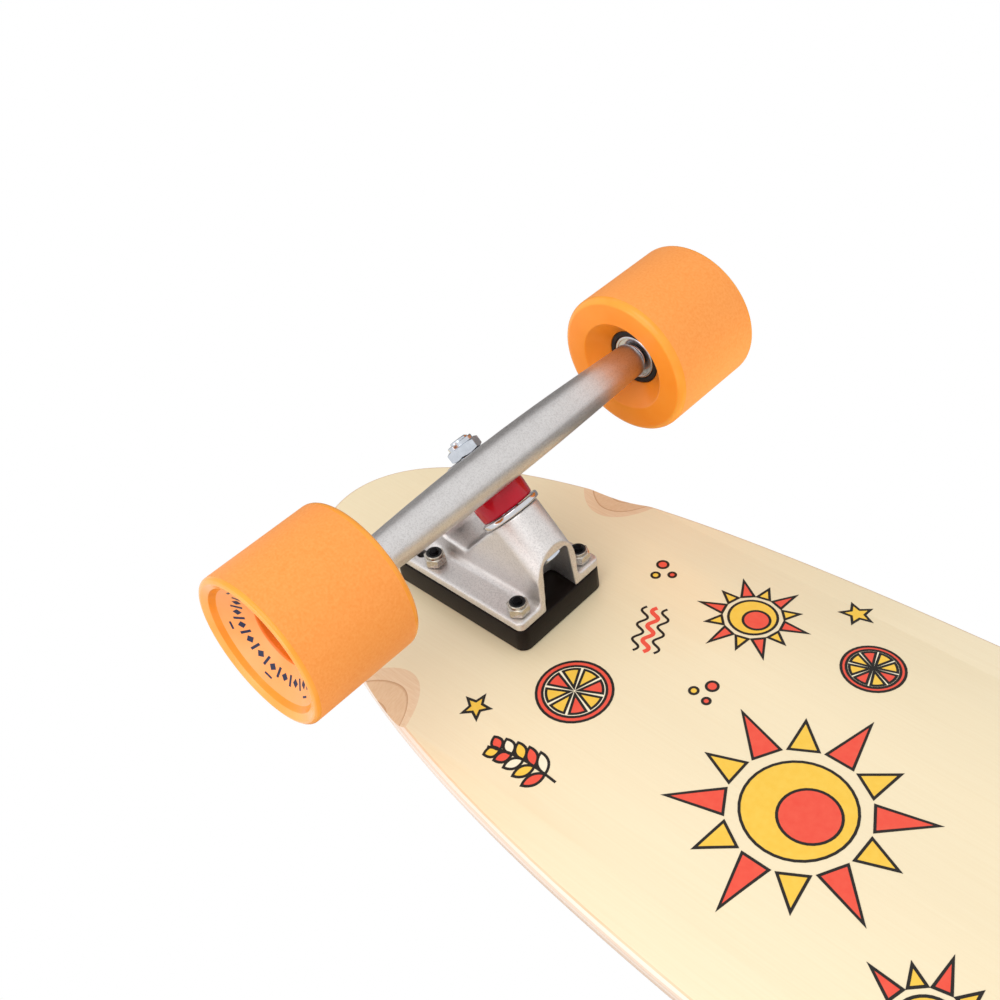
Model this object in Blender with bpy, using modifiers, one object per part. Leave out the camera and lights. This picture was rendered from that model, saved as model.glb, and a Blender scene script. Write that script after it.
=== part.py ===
"""Pintail longboard: a maple deck on two reverse-kingpin trucks with four soft wheels.

Metres, +X towards the nose, +Y to the left, +Z up. The origin is on the ground, under the middle of the board.

Each truck hangs on four empties:
truck: on the underside of the deck, over the middle of the four bolts, +X to the middle of the board
kingpin: in the middle of the hanger's ring, +Z along the kingpin to its nut, +X to the pivot cup
steering: at the same place and turn; what steers hangs here and turns about its X
wheel line: on the axle, level with the board again; the wheels turn about its Y
"""

import math

import bmesh
import bpy
from mathutils import Matrix

# Play between two pieces that touch
GAP = 0.0003

# Board
BOARD_LENGTH = 1.016
BOARD_WIDTH = 0.224
TAIL_LENGTH = 0.560
TAIL_POWERS = (3.62, 2.03)
NOSE_POWERS = (2.60, 2.20)
DECK_THICKNESS = 0.010
DECK_EDGE_RADIUS = 0.0028
CONCAVE_RISE = 0.0110
GRIP_THICKNESS = 0.0008
GRIP_INSET = 0.0030
REAR_SETBACK = 0.120
FRONT_SETBACK = 0.150

# Scoops in the underside, over the wheels
WELL_RADIUS = 0.065
WELL_SLOPE = math.radians(18)
WELL_TURN = math.radians(10.8)
WELL_AHEAD = 0.003
REAR_WELL_START = 0.0589
FRONT_WELL_START = 0.0615

# Truck bolts and their lock nuts
BOLT_SPACING_LONG = 0.0540
BOLT_SPACING_WIDE = 0.0413
SPARE_HOLE_STEP = 0.0095
BOLT_RADIUS = 0.0024
BOLT_HEAD_RADIUS = 0.0046
BOLT_HEAD_HEIGHT = 0.0027
BOLT_END = 0.0016
LOCK_NUT_FLATS = 0.0095
LOCK_NUT_HEX = 0.0046
LOCK_NUT_COLLAR = 0.0014
LOCK_NUT_COLLAR_RADIUS = 0.0040

# Riser and baseplate
RISER_THICKNESS = 0.0127
RISER_LIP = 0.0004
RISER_CORNER = 0.0050
RISER_EDGE = 0.0006
FLANGE_THICKNESS = 0.0050
FLANGE_HALF_WIDTH = 0.0273
FLANGE_INNER_END = 0.0338
FLANGE_OUTER_END = 0.0510
FLANGE_CORNER = 0.0030
FLANGE_EDGE = 0.0009
MACHINED_OFF = 0.0005
SPINE_HALF_WIDTH = 0.0126
SPINE_EDGE = 0.0012
TOWER_RADIUS = 0.0127
TOWER_OFFSET = 0.0005
TOWER_SHOULDER = 0.0090
VALLEY_DEPTH = 0.0085
VALLEY_INNER = -0.0130
CHANNEL_ROOF = 0.0093
CHANNEL_HALF_WIDTH = 0.0090
CHANNEL_DRAFT = 0.113
CHANNEL_CORNER = 0.0016
HOUSING_WALL = 0.0028
HOUSING_DEPTH = 0.0178

# Steering geometry
KINGPIN_LEAN = math.radians(44)
AXLE_BELOW_BASE = 0.0692
AXLE_AHEAD = 0.0076
AXLE_FROM_RING = 0.0188
AXLE_RAKE = 0.00265

# What sits on the kingpin
KINGPIN_RADIUS = 0.00475
KINGPIN_FLATS = 0.0143
KINGPIN_HEAD = 0.0065
KINGPIN_SEAT = 0.0192
KINGPIN_END = 0.0012
KINGPIN_NUT_HEX = 0.0052
KINGPIN_NUT_COLLAR = 0.0018
KINGPIN_NUT_COLLAR_RADIUS = 0.0062
KINGPIN_NUT_TURN = math.radians(-19)
BUSHING_RADIUS = 0.0130
BUSHING_BULGE = 0.0004
BUSHING_EDGE = 0.0012
BOARDSIDE_BUSHING_HEIGHT = 0.0136
ROADSIDE_BUSHING_HEIGHT = 0.0078
ROADSIDE_BUSHING_TOP = 0.0108
BOARDSIDE_WASHER_RADIUS = 0.0147
BOARDSIDE_WASHER_HEIGHT = 0.0028
ROADSIDE_WASHER_RADIUS = 0.0118
ROADSIDE_WASHER_HEIGHT = 0.0016
WASHER_EDGE = 0.0004

# Hanger
HANGER_WIDTH = 0.1800
SLEEVE_RADIUS = 0.0083
SLEEVE_LENGTH = 0.0060
SLEEVE_EDGE = 0.0008
BAR_RADIUS = 0.0104
BAR_BOW = 0.0006
RING_HOLE_RADIUS = 0.0066
RING_RADIUS = 0.0155
RING_THICKNESS = 0.0060
WEB_THICKNESS = 0.0052
WEB_RING_HALF_WIDTH = 0.0135
WEB_BAR_HALF_WIDTH = 0.0300
POCKET_CLEARANCE = 0.0007
ARM_ROOT_RADIUS = 0.0095
ARM_TIP_RADIUS = 0.0078
ARM_CLEARANCE = 0.0010
PIVOT_MOUTH = 0.0440
PIVOT_RADIUS = 0.0055
PIVOT_DEPTH = 0.0055
PIVOT_EDGE = 0.0018
CUP_WALL = 0.0020
CUP_FLOOR = 0.0015
CUP_RIM_WIDTH = 0.0028
CUP_RIM_THICKNESS = 0.0018

# Axle
AXLE_RADIUS = 0.0040
AXLE_END = 0.0020
AXLE_EDGE = 0.0006
SPACER_RADIUS = 0.0055
SPEED_RING_THICKNESS = 0.0008
AXLE_NUT_FLATS = 0.0127
AXLE_NUT_HEX = 0.0058
AXLE_NUT_COLLAR = 0.0017
AXLE_NUT_COLLAR_RADIUS = 0.0054

# Wheel
WHEEL_RADIUS = 0.0350
WHEEL_WIDTH = 0.0550
WHEEL_RECESS = 0.0090
INNER_LIP = 0.0034
OUTER_LIP = 0.0024
INNER_DISH_RADIUS = 0.0216
INNER_DISH_EDGE = 0.0009
OUTER_DISH_RADIUS = 0.0298
OUTER_DISH_EDGE = 0.0015
DISH_FLOOR_RADIUS = 0.0281
DISH_FLOOR_DEPTH = 0.0037
HUB_MOUTH_RADIUS = 0.0145
HUB_MOUTH_DEPTH = 0.0122
CORE_RADIUS = 0.0135
CORE_STOP = 0.0020
BEARING_RADIUS = 0.0110
BEARING_WIDTH = 0.0070
BEARING_SPACING = 0.0100

# How finely round pieces are divided
TYRE_STEPS = 32
TOWER_STEPS = 24
BAR_STEPS = 20
RING_STEPS = 16
ROD_STEPS = 12
BOLT_STEPS = 10
WELL_STEPS = 96
BAR_STATIONS = 8
LIP_STEPS = 2
CORNER_STEPS = 3
CONCAVE_STEPS = 6
OUTLINE_STEPS = 16

# Cutters reach this far past what they cut, and joined shapes this far into each other
BEYOND = 0.010
INTO = 0.004
BLOCK_REACH = 0.100

HALF_TURN = math.pi
QUARTER_TURN = math.pi / 2

# Heights and places that follow from the sizes above. Heights count from the underside of the deck.
BASE_TOP = -(RISER_THICKNESS + 2 * GAP)
FLANGE_UNDERSIDE = BASE_TOP - FLANGE_THICKNESS
AXLE_BELOW_DECK = AXLE_BELOW_BASE - BASE_TOP
DECK_UNDERSIDE = AXLE_BELOW_DECK + WHEEL_RADIUS
TAIL_TIP = -BOARD_LENGTH / 2
NOSE_TIP = BOARD_LENGTH / 2
FLAT_HALF_WIDTH = FLANGE_HALF_WIDTH + RISER_LIP
BENT_WIDTH = BOARD_WIDTH / 2 - FLAT_HALF_WIDTH
WIDEST = TAIL_TIP + TAIL_LENGTH
REAR_TRUCK = TAIL_TIP + REAR_SETBACK
FRONT_TRUCK = NOSE_TIP - FRONT_SETBACK

# The bolt, from the top of the grip tape to its end under the nut
BOLT_TOP = DECK_THICKNESS + GAP + GRIP_THICKNESS
NUT_FACE = FLANGE_UNDERSIDE - GAP
BOLT_LENGTH = BOLT_TOP - NUT_FACE + LOCK_NUT_HEX + LOCK_NUT_COLLAR + BOLT_END

# The middle of the hanger's ring, worked back from the axle
RING_AHEAD = AXLE_AHEAD - AXLE_FROM_RING * math.cos(KINGPIN_LEAN) + AXLE_RAKE * math.sin(KINGPIN_LEAN)
RING_BELOW = AXLE_BELOW_DECK - AXLE_FROM_RING * math.sin(KINGPIN_LEAN) - AXLE_RAKE * math.cos(KINGPIN_LEAN)

# Along the kingpin, from the middle of the ring
RING_HALF = RING_THICKNESS / 2
BOARDSIDE_BUSHING = -RING_HALF - GAP - BOARDSIDE_BUSHING_HEIGHT
BOARDSIDE_WASHER = BOARDSIDE_BUSHING - GAP - BOARDSIDE_WASHER_HEIGHT
TOWER_SEAT = BOARDSIDE_WASHER - GAP
HEAD_SEAT = TOWER_SEAT - KINGPIN_SEAT
ROADSIDE_BUSHING = RING_HALF + GAP
ROADSIDE_WASHER = ROADSIDE_BUSHING + ROADSIDE_BUSHING_HEIGHT + GAP
KINGPIN_NUT = ROADSIDE_WASHER + ROADSIDE_WASHER_HEIGHT + GAP
KINGPIN_TIP = KINGPIN_NUT + KINGPIN_NUT_HEX + KINGPIN_NUT_COLLAR + KINGPIN_END

# Along the steering axis, from the middle of the ring
CUP_RIM = PIVOT_MOUTH - GAP - CUP_RIM_THICKNESS
ARM_END = CUP_RIM - ARM_CLEARANCE
PIVOT_TIP = PIVOT_MOUTH + PIVOT_DEPTH
CUP_FLOOR_TOP = PIVOT_TIP + GAP
CUP_BOTTOM = CUP_FLOOR_TOP + CUP_FLOOR
CUP_BORE = PIVOT_RADIUS + GAP
CUP_RADIUS = CUP_BORE + CUP_WALL
CUP_RIM_RADIUS = CUP_RADIUS + CUP_RIM_WIDTH
POCKET_RADIUS = CUP_RADIUS + GAP
HOUSING_RADIUS = POCKET_RADIUS + HOUSING_WALL

# Along the axle, from the middle of the truck
INNER_BEARING = HANGER_WIDTH / 2 + SPEED_RING_THICKNESS + 2 * GAP
WHEEL_START = INNER_BEARING - WHEEL_RECESS
OUTER_BEARING = INNER_BEARING + BEARING_WIDTH + BEARING_SPACING
OUTER_RING = OUTER_BEARING + BEARING_WIDTH + GAP
AXLE_NUT = OUTER_RING + SPEED_RING_THICKNESS + GAP
AXLE_TIP = AXLE_NUT + AXLE_NUT_HEX + AXLE_NUT_COLLAR + AXLE_END


def clear_scene():
    """Removes what is in the file, so that the script can run again."""
    for thing in list(bpy.data.objects):
        bpy.data.objects.remove(thing, do_unlink=True)
    for group in list(bpy.data.collections):
        bpy.data.collections.remove(group)


def new_collection(name):
    group = bpy.data.collections.new(name)
    bpy.context.scene.collection.children.link(group)
    return group


def surface(name, colour, roughness, metallic=0.0):
    """A material of one colour, given as linear red, green and blue."""
    made = bpy.data.materials.new(name)
    made.use_nodes = True
    shader = made.node_tree.nodes["Principled BSDF"]
    shader.inputs["Base Color"].default_value = (*colour, 1.0)
    shader.inputs["Roughness"].default_value = roughness
    shader.inputs["Metallic"].default_value = metallic
    made.diffuse_color = (*colour, 1.0)
    return made


clear_scene()
PARTS = new_collection("pintail_longboard")
CUTTERS = new_collection("cutters")

MAPLE = surface("maple", (0.86, 0.72, 0.49), 0.45)
GRIT = surface("grip tape", (0.02, 0.02, 0.02), 0.95)
RISER_RUBBER = surface("riser rubber", (0.02, 0.018, 0.016), 0.6)
CAST_ALUMINIUM = surface("cast aluminium", (0.56, 0.55, 0.54), 0.38, 1.0)
BLACK_STEEL = surface("black steel", (0.03, 0.03, 0.03), 0.45, 1.0)
ZINC = surface("zinc plated steel", (0.72, 0.73, 0.75), 0.28, 1.0)
CHROME = surface("chromed steel", (0.80, 0.80, 0.80), 0.15, 1.0)
AXLE_STEEL = surface("axle steel", (0.45, 0.44, 0.43), 0.35, 1.0)
RED_URETHANE = surface("red urethane", (0.55, 0.01, 0.03), 0.35)
BLACK_URETHANE = surface("black urethane", (0.02, 0.02, 0.02), 0.5)
ORANGE_URETHANE = surface("orange urethane", (1.0, 0.36, 0.06), 0.4)
BLACK_NYLON = surface("black nylon", (0.015, 0.015, 0.015), 0.5)


def empty(name, parent=None, place=(0, 0, 0), turn=(0, 0, 0)):
    made = bpy.data.objects.new(name, None)
    PARTS.objects.link(made)
    made.parent = parent
    made.location = place
    made.rotation_euler = turn
    made.empty_display_size = INTO
    return made


def add(thing, material, parent=None, place=(0, 0, 0), turn=(0, 0, 0)):
    """Puts a part in the board's collection, on its parent and in its place."""
    PARTS.objects.link(thing)
    thing.parent = parent
    thing.location = place
    thing.rotation_euler = turn
    if not thing.data.materials:
        thing.data.materials.append(material)
    return thing


def cutter(thing, parent=None, place=(0, 0, 0), turn=(0, 0, 0)):
    """A shape that only cuts another or is joined to it."""
    CUTTERS.objects.link(thing)
    thing.parent = parent
    thing.location = place
    thing.rotation_euler = turn
    thing.hide_render = True
    thing.display_type = "WIRE"
    return thing


def boolean(target, operation, tool):
    modifier = target.modifiers.new(f"{operation.lower()} {tool.name}", "BOOLEAN")
    modifier.operation = operation
    modifier.object = tool
    modifier.solver = "EXACT"


def join(target, tool):
    boolean(target, "UNION", tool)


def cut(target, tool):
    boolean(target, "DIFFERENCE", tool)


def bevel(thing, width, segments=1, angle=60):
    modifier = thing.modifiers.new("edges", "BEVEL")
    modifier.width = width
    modifier.segments = segments
    modifier.limit_method = "ANGLE"
    modifier.angle_limit = math.radians(angle)


def shade_round(thing, angle=40):
    thing.data.shade_smooth()
    thing.data.set_sharp_from_angle(angle=math.radians(angle))


def mesh_object(name, build):
    """A new object whose mesh is made by build(bmesh)."""
    mesh = bpy.data.meshes.new(name)
    work = bmesh.new()
    build(work)
    work.to_mesh(mesh)
    work.free()
    return bpy.data.objects.new(name, mesh)


def evaluated_mesh(thing):
    """The mesh of an object with its modifiers applied. The object and its cutters are removed."""
    bpy.context.view_layer.update()
    mesh = bpy.data.meshes.new_from_object(thing.evaluated_get(bpy.context.evaluated_depsgraph_get()))
    mesh.name = thing.name
    tools = [modifier.object for modifier in thing.modifiers if modifier.type == "BOOLEAN"]
    for used in [thing, *tools]:
        bpy.data.objects.remove(used)
    return mesh


def box(name, low, high):
    """A box between two corners."""
    middle = Matrix.Translation([(a + b) / 2 for a, b in zip(low, high)])
    stretch = Matrix.Diagonal([b - a for a, b in zip(low, high)] + [1])

    def build(work):
        bmesh.ops.create_cube(work, size=1.0, matrix=middle @ stretch)

    return mesh_object(name, build)


def cylinder(name, radius, bottom, top, steps=RING_STEPS, top_radius=None):
    """A round or, with few steps, polygonal bar along Z; with a top radius it tapers."""
    end_radius = radius if top_radius is None else top_radius
    middle = Matrix.Translation((0, 0, (top + bottom) / 2))

    def build(work):
        bmesh.ops.create_cone(
            work,
            cap_ends=True,
            segments=steps,
            radius1=radius,
            radius2=end_radius,
            depth=top - bottom,
            matrix=middle,
        )

    return mesh_object(name, build)


def turned(name, profile, steps=RING_STEPS, start=0.0):
    """A piece turned about Z from points of radius and height, down its outer side.

    A profile that ends on the axis is solid, any other is a ring. start is the angle of the first row of points.
    """

    def build(work):
        points = [work.verts.new((r * math.cos(start), r * math.sin(start), height)) for r, height in profile]
        pairs = list(zip(points, points[1:]))
        if profile[0][0] > 0:
            pairs.append((points[-1], points[0]))
        for pair in pairs:
            work.edges.new(pair)

    made = mesh_object(name, build)
    screw = made.modifiers.new("turn", "SCREW")
    screw.axis = "Z"
    screw.angle = 2 * math.pi
    screw.steps = steps
    screw.render_steps = steps
    screw.use_merge_vertices = True
    screw.merge_threshold = 0.00001
    return made


def slab(name, outline, thickness):
    """A flat outline in X and Y, with its thickness to both sides of Z = 0."""
    curve = bpy.data.curves.new(name, "CURVE")
    curve.dimensions = "2D"
    curve.fill_mode = "BOTH"
    curve.extrude = thickness / 2
    spline = curve.splines.new("POLY")
    spline.points.add(len(outline) - 1)
    for point, (x, y) in zip(spline.points, outline):
        point.co = (x, y, 0, 1)
    spline.use_cyclic_u = True
    drawn = cutter(bpy.data.objects.new(f"{name} outline", curve))
    mesh = evaluated_mesh(drawn)
    work = bmesh.new()
    work.from_mesh(mesh)
    bmesh.ops.remove_doubles(work, verts=work.verts, dist=0.00001)
    bmesh.ops.recalc_face_normals(work, faces=work.faces)
    work.to_mesh(mesh)
    work.free()
    mesh.name = name
    return bpy.data.objects.new(name, mesh)


def upright_slab(name, outline, half_width):
    """An outline in X and Z, stretched along Y to both sides."""
    made = slab(name, outline, 2 * half_width)
    made.data.transform(Matrix.Rotation(QUARTER_TURN, 4, "X"))
    return made


def rounded_rectangle(low, high, half_width, radius):
    """The outline of a plate with round corners, from low to high along X."""
    corners = [
        (high - radius, half_width - radius),
        (low + radius, half_width - radius),
        (low + radius, -half_width + radius),
        (high - radius, -half_width + radius),
    ]
    points = []
    for index, (x, y) in enumerate(corners):
        for step in range(CORNER_STEPS + 1):
            angle = QUARTER_TURN * (index + step / CORNER_STEPS)
            points.append((x + radius * math.cos(angle), y + radius * math.sin(angle)))
    return points


def board_quarter(way, length, powers, half_width):
    """A quarter of the outline, from the tip to the widest place: part of a superellipse."""
    along, across = powers
    points = []
    for step in range(OUTLINE_STEPS + 1):
        angle = QUARTER_TURN * step / OUTLINE_STEPS
        x = WIDEST + way * length * abs(math.cos(angle)) ** (2 / along)
        y = half_width * abs(math.sin(angle)) ** (2 / across)
        points.append((x, y))
    return points


def board_outline(inset=0.0):
    """The pintail: two unlike superellipses that meet where the board is widest."""
    half_width = BOARD_WIDTH / 2 - inset
    nose = board_quarter(1, NOSE_TIP - WIDEST - inset, NOSE_POWERS, half_width)
    tail = board_quarter(-1, TAIL_LENGTH - inset, TAIL_POWERS, half_width)
    left = nose + tail[-2::-1]
    right = [(x, -y) for x, y in left[-2:0:-1]]
    return left + right


def concave(step):
    """How high the deck's side rises at a line between two strips: a parabola from the flat middle outwards."""
    return CONCAVE_RISE * (step / CONCAVE_STEPS) ** 2


def bend_up(mesh):
    """Cuts a flat mesh into strips along the board and lifts its sides. Every face stays plane."""
    work = bmesh.new()
    work.from_mesh(mesh)
    bmesh.ops.dissolve_limit(work, angle_limit=0.001, verts=work.verts, edges=work.edges)
    for step in range(CONCAVE_STEPS):
        line = FLAT_HALF_WIDTH + BENT_WIDTH * step / CONCAVE_STEPS
        for side in (1, -1):
            everything = [*work.verts, *work.edges, *work.faces]
            bmesh.ops.bisect_plane(work, geom=everything, plane_co=(0, side * line, 0), plane_no=(0, 1, 0))
    for vertex in work.verts:
        share = max(0.0, (abs(vertex.co.y) - FLAT_HALF_WIDTH) * CONCAVE_STEPS / BENT_WIDTH)
        step = min(int(share), CONCAVE_STEPS - 1)
        vertex.co.z += concave(step) + (concave(step + 1) - concave(step)) * (share - step)
    work.to_mesh(mesh)
    work.free()


def bolt_places():
    """The four bolts in the truck's X and Y."""
    return [
        (along * BOLT_SPACING_LONG / 2, side * BOLT_SPACING_WIDE / 2)
        for along in (1, -1)
        for side in (1, -1)
    ]


def spare_places():
    """The two empty holes of the longer bolt pattern."""
    return [(-BOLT_SPACING_LONG / 2 - SPARE_HOLE_STEP, side * BOLT_SPACING_WIDE / 2) for side in (1, -1)]


def bolt_profile(play=0.0, beyond=0.0):
    """Half a countersunk bolt, the top of its head at Z = 0. With play and longer ends it is the hole for one."""
    end = -BOLT_LENGTH - beyond
    return [
        (0, beyond),
        (BOLT_HEAD_RADIUS + play, beyond),
        (BOLT_HEAD_RADIUS + play, -play),
        (BOLT_RADIUS + play, -BOLT_HEAD_HEIGHT - play),
        (BOLT_RADIUS + play, end),
        (0, end),
    ]


def on_kingpin(along_pivot, along_kingpin):
    """X and Z in the truck's frame of a point in the middle plane of the kingpin's frame."""
    lean_sin = math.sin(KINGPIN_LEAN)
    lean_cos = math.cos(KINGPIN_LEAN)
    x = RING_AHEAD - along_pivot * lean_cos - along_kingpin * lean_sin
    z = -RING_BELOW + along_pivot * lean_sin - along_kingpin * lean_cos
    return x, z


def hexagon_radius(flats):
    return flats / 2 / math.cos(HALF_TURN / 6)


def lock_nut(name, flats, hex_height, collar_radius, collar_height, bore):
    """The mesh of a lock nut: a hexagon that stands on Z = 0 and the round collar that grips the thread."""
    top = hex_height + collar_height
    nut = cutter(cylinder(name, hexagon_radius(flats), 0, hex_height, 6))
    join(nut, cutter(cylinder(f"{name} collar", collar_radius, hex_height / 2, top, 12)))
    cut(nut, cutter(cylinder(f"{name} bore", bore + GAP, -BEYOND, top + BEYOND, 12)))
    return evaluated_mesh(nut)


def cut_bolt_holes(target, trucks, profile):
    """Holes in the deck or the grip tape for the bolts of both trucks."""
    for truck in trucks:
        for index, (x, y) in enumerate(bolt_places()):
            tool = turned(f"{target.name} {truck.name} hole {index + 1}", profile, BOLT_STEPS)
            cut(target, cutter(tool, truck, (x, y, BOLT_TOP)))


def deck(trucks):
    """The maple deck: flat in the middle, its sides bent up, with scoops over the wheels."""
    flat = slab("deck", board_outline(), DECK_THICKNESS)
    bevel(flat, DECK_EDGE_RADIUS, 2)
    mesh = evaluated_mesh(cutter(flat))
    bend_up(mesh)
    board = add(bpy.data.objects.new("deck", mesh), MAPLE, None, (0, 0, DECK_UNDERSIDE + DECK_THICKNESS / 2))
    lean = WELL_RADIUS * math.sin(WELL_SLOPE)
    for truck, start in zip(trucks, (REAR_WELL_START, FRONT_WELL_START)):
        for side in (1, -1):
            place = (
                WELL_AHEAD - lean * math.sin(WELL_TURN),
                side * (start + lean * math.cos(WELL_TURN)),
                -WELL_RADIUS * math.cos(WELL_SLOPE),
            )
            turn = (-side * (QUARTER_TURN - WELL_SLOPE), 0, side * WELL_TURN)
            well = cylinder(f"{truck.name} well {side}", WELL_RADIUS, -BEYOND, BOARD_WIDTH / 4, WELL_STEPS)
            cut(board, cutter(well, truck, place, turn))
    cut_bolt_holes(board, trucks, bolt_profile(GAP, BEYOND))
    shade_round(board, 25)


def grip_tape(trucks):
    """The sanded sheet that covers the top of the deck and bends with it."""
    sheet = slab("grip_tape", board_outline(GRIP_INSET), GRIP_THICKNESS)
    bend_up(sheet.data)
    height = DECK_UNDERSIDE + DECK_THICKNESS + GAP + GRIP_THICKNESS / 2
    add(sheet, GRIT, None, (0, 0, height))
    radius = BOLT_HEAD_RADIUS + GAP
    cut_bolt_holes(sheet, trucks, [(0, BEYOND), (radius, BEYOND), (radius, -DECK_THICKNESS), (0, -DECK_THICKNESS)])


def truck_bolts(prefix, truck, bolt, nut):
    for index, (x, y) in enumerate(bolt_places()):
        add(bpy.data.objects.new(f"{prefix}_deck_bolt_{index + 1}", bolt), BLACK_STEEL, truck, (x, y, BOLT_TOP))
        below = bpy.data.objects.new(f"{prefix}_lock_nut_{index + 1}", nut)
        add(below, ZINC, truck, (x, y, NUT_FACE), (HALF_TURN, 0, 0))


def riser_pad(name, truck):
    outline = rounded_rectangle(
        -FLANGE_OUTER_END - RISER_LIP,
        FLANGE_INNER_END + RISER_LIP,
        FLANGE_HALF_WIDTH + RISER_LIP,
        RISER_CORNER,
    )
    pad = add(slab(name, outline, RISER_THICKNESS), RISER_RUBBER, truck, (0, 0, -GAP - RISER_THICKNESS / 2))
    bevel(pad, RISER_EDGE)
    for index, (x, y) in enumerate(bolt_places() + spare_places()):
        hole = cylinder(f"{name} hole {index + 1}", BOLT_RADIUS + GAP, BASE_TOP - BEYOND, BEYOND, BOLT_STEPS)
        cut(pad, cutter(hole, truck, (x, y, 0)))


def spine_outline():
    """The baseplate's side view below its flange: pivot housing, valley and tower up to the kingpin's line."""
    root = (FLANGE_UNDERSIDE + BASE_TOP) / 2
    inside = TOWER_SEAT - GAP
    past_end = FLANGE_INNER_END + BEYOND
    run = (past_end - on_kingpin(0, inside)[0]) / math.sin(KINGPIN_LEAN)
    return [
        (-FLANGE_OUTER_END + FLANGE_EDGE, root),
        (-FLANGE_OUTER_END, FLANGE_UNDERSIDE - HOUSING_DEPTH),
        on_kingpin(PIVOT_MOUTH, HOUSING_RADIUS),
        on_kingpin(PIVOT_MOUTH, -CUP_RIM_RADIUS - CUP_RIM_THICKNESS),
        (VALLEY_INNER, FLANGE_UNDERSIDE - VALLEY_DEPTH),
        on_kingpin(TOWER_SHOULDER, inside),
        on_kingpin(0, inside),
        on_kingpin(0, inside - run),
        (past_end, root),
    ]


def channel_outline():
    """Across the tower's hollow, in the kingpin's X and Y: a flat roof, round corners and sides that spread."""

    def half_width(along):
        return CHANNEL_HALF_WIDTH + CHANNEL_DRAFT * along

    foot = 2 * PIVOT_MOUTH
    roof = -CHANNEL_ROOF
    bend = roof + CHANNEL_CORNER
    one_side = [(foot, half_width(foot)), (bend, half_width(bend)), (roof, half_width(bend) - CHANNEL_CORNER)]
    return one_side + [(x, -y) for x, y in reversed(one_side)]


def hollow_outline(far_end):
    """The tower's hollow from the side: under the kingpin's head, open to the riser and at the inner end."""
    under_head = HEAD_SEAT - GAP
    back = on_kingpin(CHANNEL_ROOF, under_head)
    past_roof = CHANNEL_ROOF + BEYOND
    past_end = on_kingpin(0, far_end)[0]
    return [
        (back[0], BEYOND),
        back,
        on_kingpin(-past_roof, under_head),
        on_kingpin(-past_roof, far_end),
        (past_end, BEYOND),
    ]


def baseplate(name, truck, kingpin):
    """The casting under the riser: flange, hollow tower for the kingpin and housing for the pivot cup."""
    rough_end = FLANGE_INNER_END + MACHINED_OFF
    rough_thickness = FLANGE_THICKNESS + MACHINED_OFF
    outline = rounded_rectangle(-FLANGE_OUTER_END, rough_end, FLANGE_HALF_WIDTH, FLANGE_CORNER)
    plate = slab(name, outline, rough_thickness)
    add(plate, CAST_ALUMINIUM, truck, (0, 0, FLANGE_UNDERSIDE + rough_thickness / 2))
    bevel(plate, FLANGE_EDGE)

    spine = cutter(upright_slab(f"{name} spine", spine_outline(), SPINE_HALF_WIDTH), truck)
    bevel(spine, SPINE_EDGE, 1, 20)
    join(plate, spine)
    far_end = (RING_AHEAD - FLANGE_INNER_END - TOWER_RADIUS) / math.sin(KINGPIN_LEAN) - BEYOND
    tower = cylinder(f"{name} tower", TOWER_RADIUS, far_end, TOWER_SEAT, TOWER_STEPS)
    join(plate, cutter(tower, kingpin, (-TOWER_OFFSET, 0, 0)))

    reach = BLOCK_REACH
    past_end = box(f"{name} end", (FLANGE_INNER_END, -reach, -reach), (FLANGE_INNER_END + reach, reach, reach))
    cut(plate, cutter(past_end, truck))
    above = box(f"{name} top", (-reach, -reach, BASE_TOP), (FLANGE_INNER_END + BEYOND, reach, BASE_TOP + reach))
    cut(plate, cutter(above, truck))

    hollow = cutter(upright_slab(f"{name} hollow", hollow_outline(far_end), TOWER_RADIUS), truck)
    channel = slab(f"{name} channel", channel_outline(), 2 * (HEAD_SEAT - far_end + BEYOND))
    boolean(hollow, "INTERSECT", cutter(channel, kingpin, (0, 0, far_end)))
    cut(plate, hollow)
    bore = cylinder(f"{name} bore", KINGPIN_RADIUS + GAP, HEAD_SEAT - BEYOND, TOWER_SEAT + BEYOND, ROD_STEPS)
    cut(plate, cutter(bore, kingpin))

    pocket = cylinder(f"{name} pocket", POCKET_RADIUS, PIVOT_MOUTH - BEYOND, CUP_BOTTOM + GAP)
    cut(plate, cutter(pocket, kingpin, turn=(0, QUARTER_TURN, 0)))
    for index, (x, y) in enumerate(bolt_places() + spare_places()):
        hole = cylinder(f"{name} hole {index + 1}", BOLT_RADIUS + GAP, FLANGE_UNDERSIDE - BEYOND, 0, BOLT_STEPS)
        cut(plate, cutter(hole, truck, (x, y, 0)))
    shade_round(plate)


def bushing_profile(bottom, height, bottom_radius, top_radius, bulge):
    """A barrel or cone of urethane with a bore for the kingpin."""
    bore = KINGPIN_RADIUS + GAP
    top = bottom + height
    return [
        (top_radius - BUSHING_EDGE, top),
        (top_radius, top - BUSHING_EDGE),
        ((bottom_radius + top_radius) / 2 + bulge, bottom + height / 2),
        (bottom_radius, bottom + BUSHING_EDGE),
        (bottom_radius - BUSHING_EDGE, bottom),
        (bore, bottom),
        (bore, top),
    ]


def washer_profile(bottom, height, radius):
    bore = KINGPIN_RADIUS + GAP
    top = bottom + height
    return [
        (radius - WASHER_EDGE, top),
        (radius, top - WASHER_EDGE),
        (radius, bottom + WASHER_EDGE),
        (radius - WASHER_EDGE, bottom),
        (bore, bottom),
        (bore, top),
    ]


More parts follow.
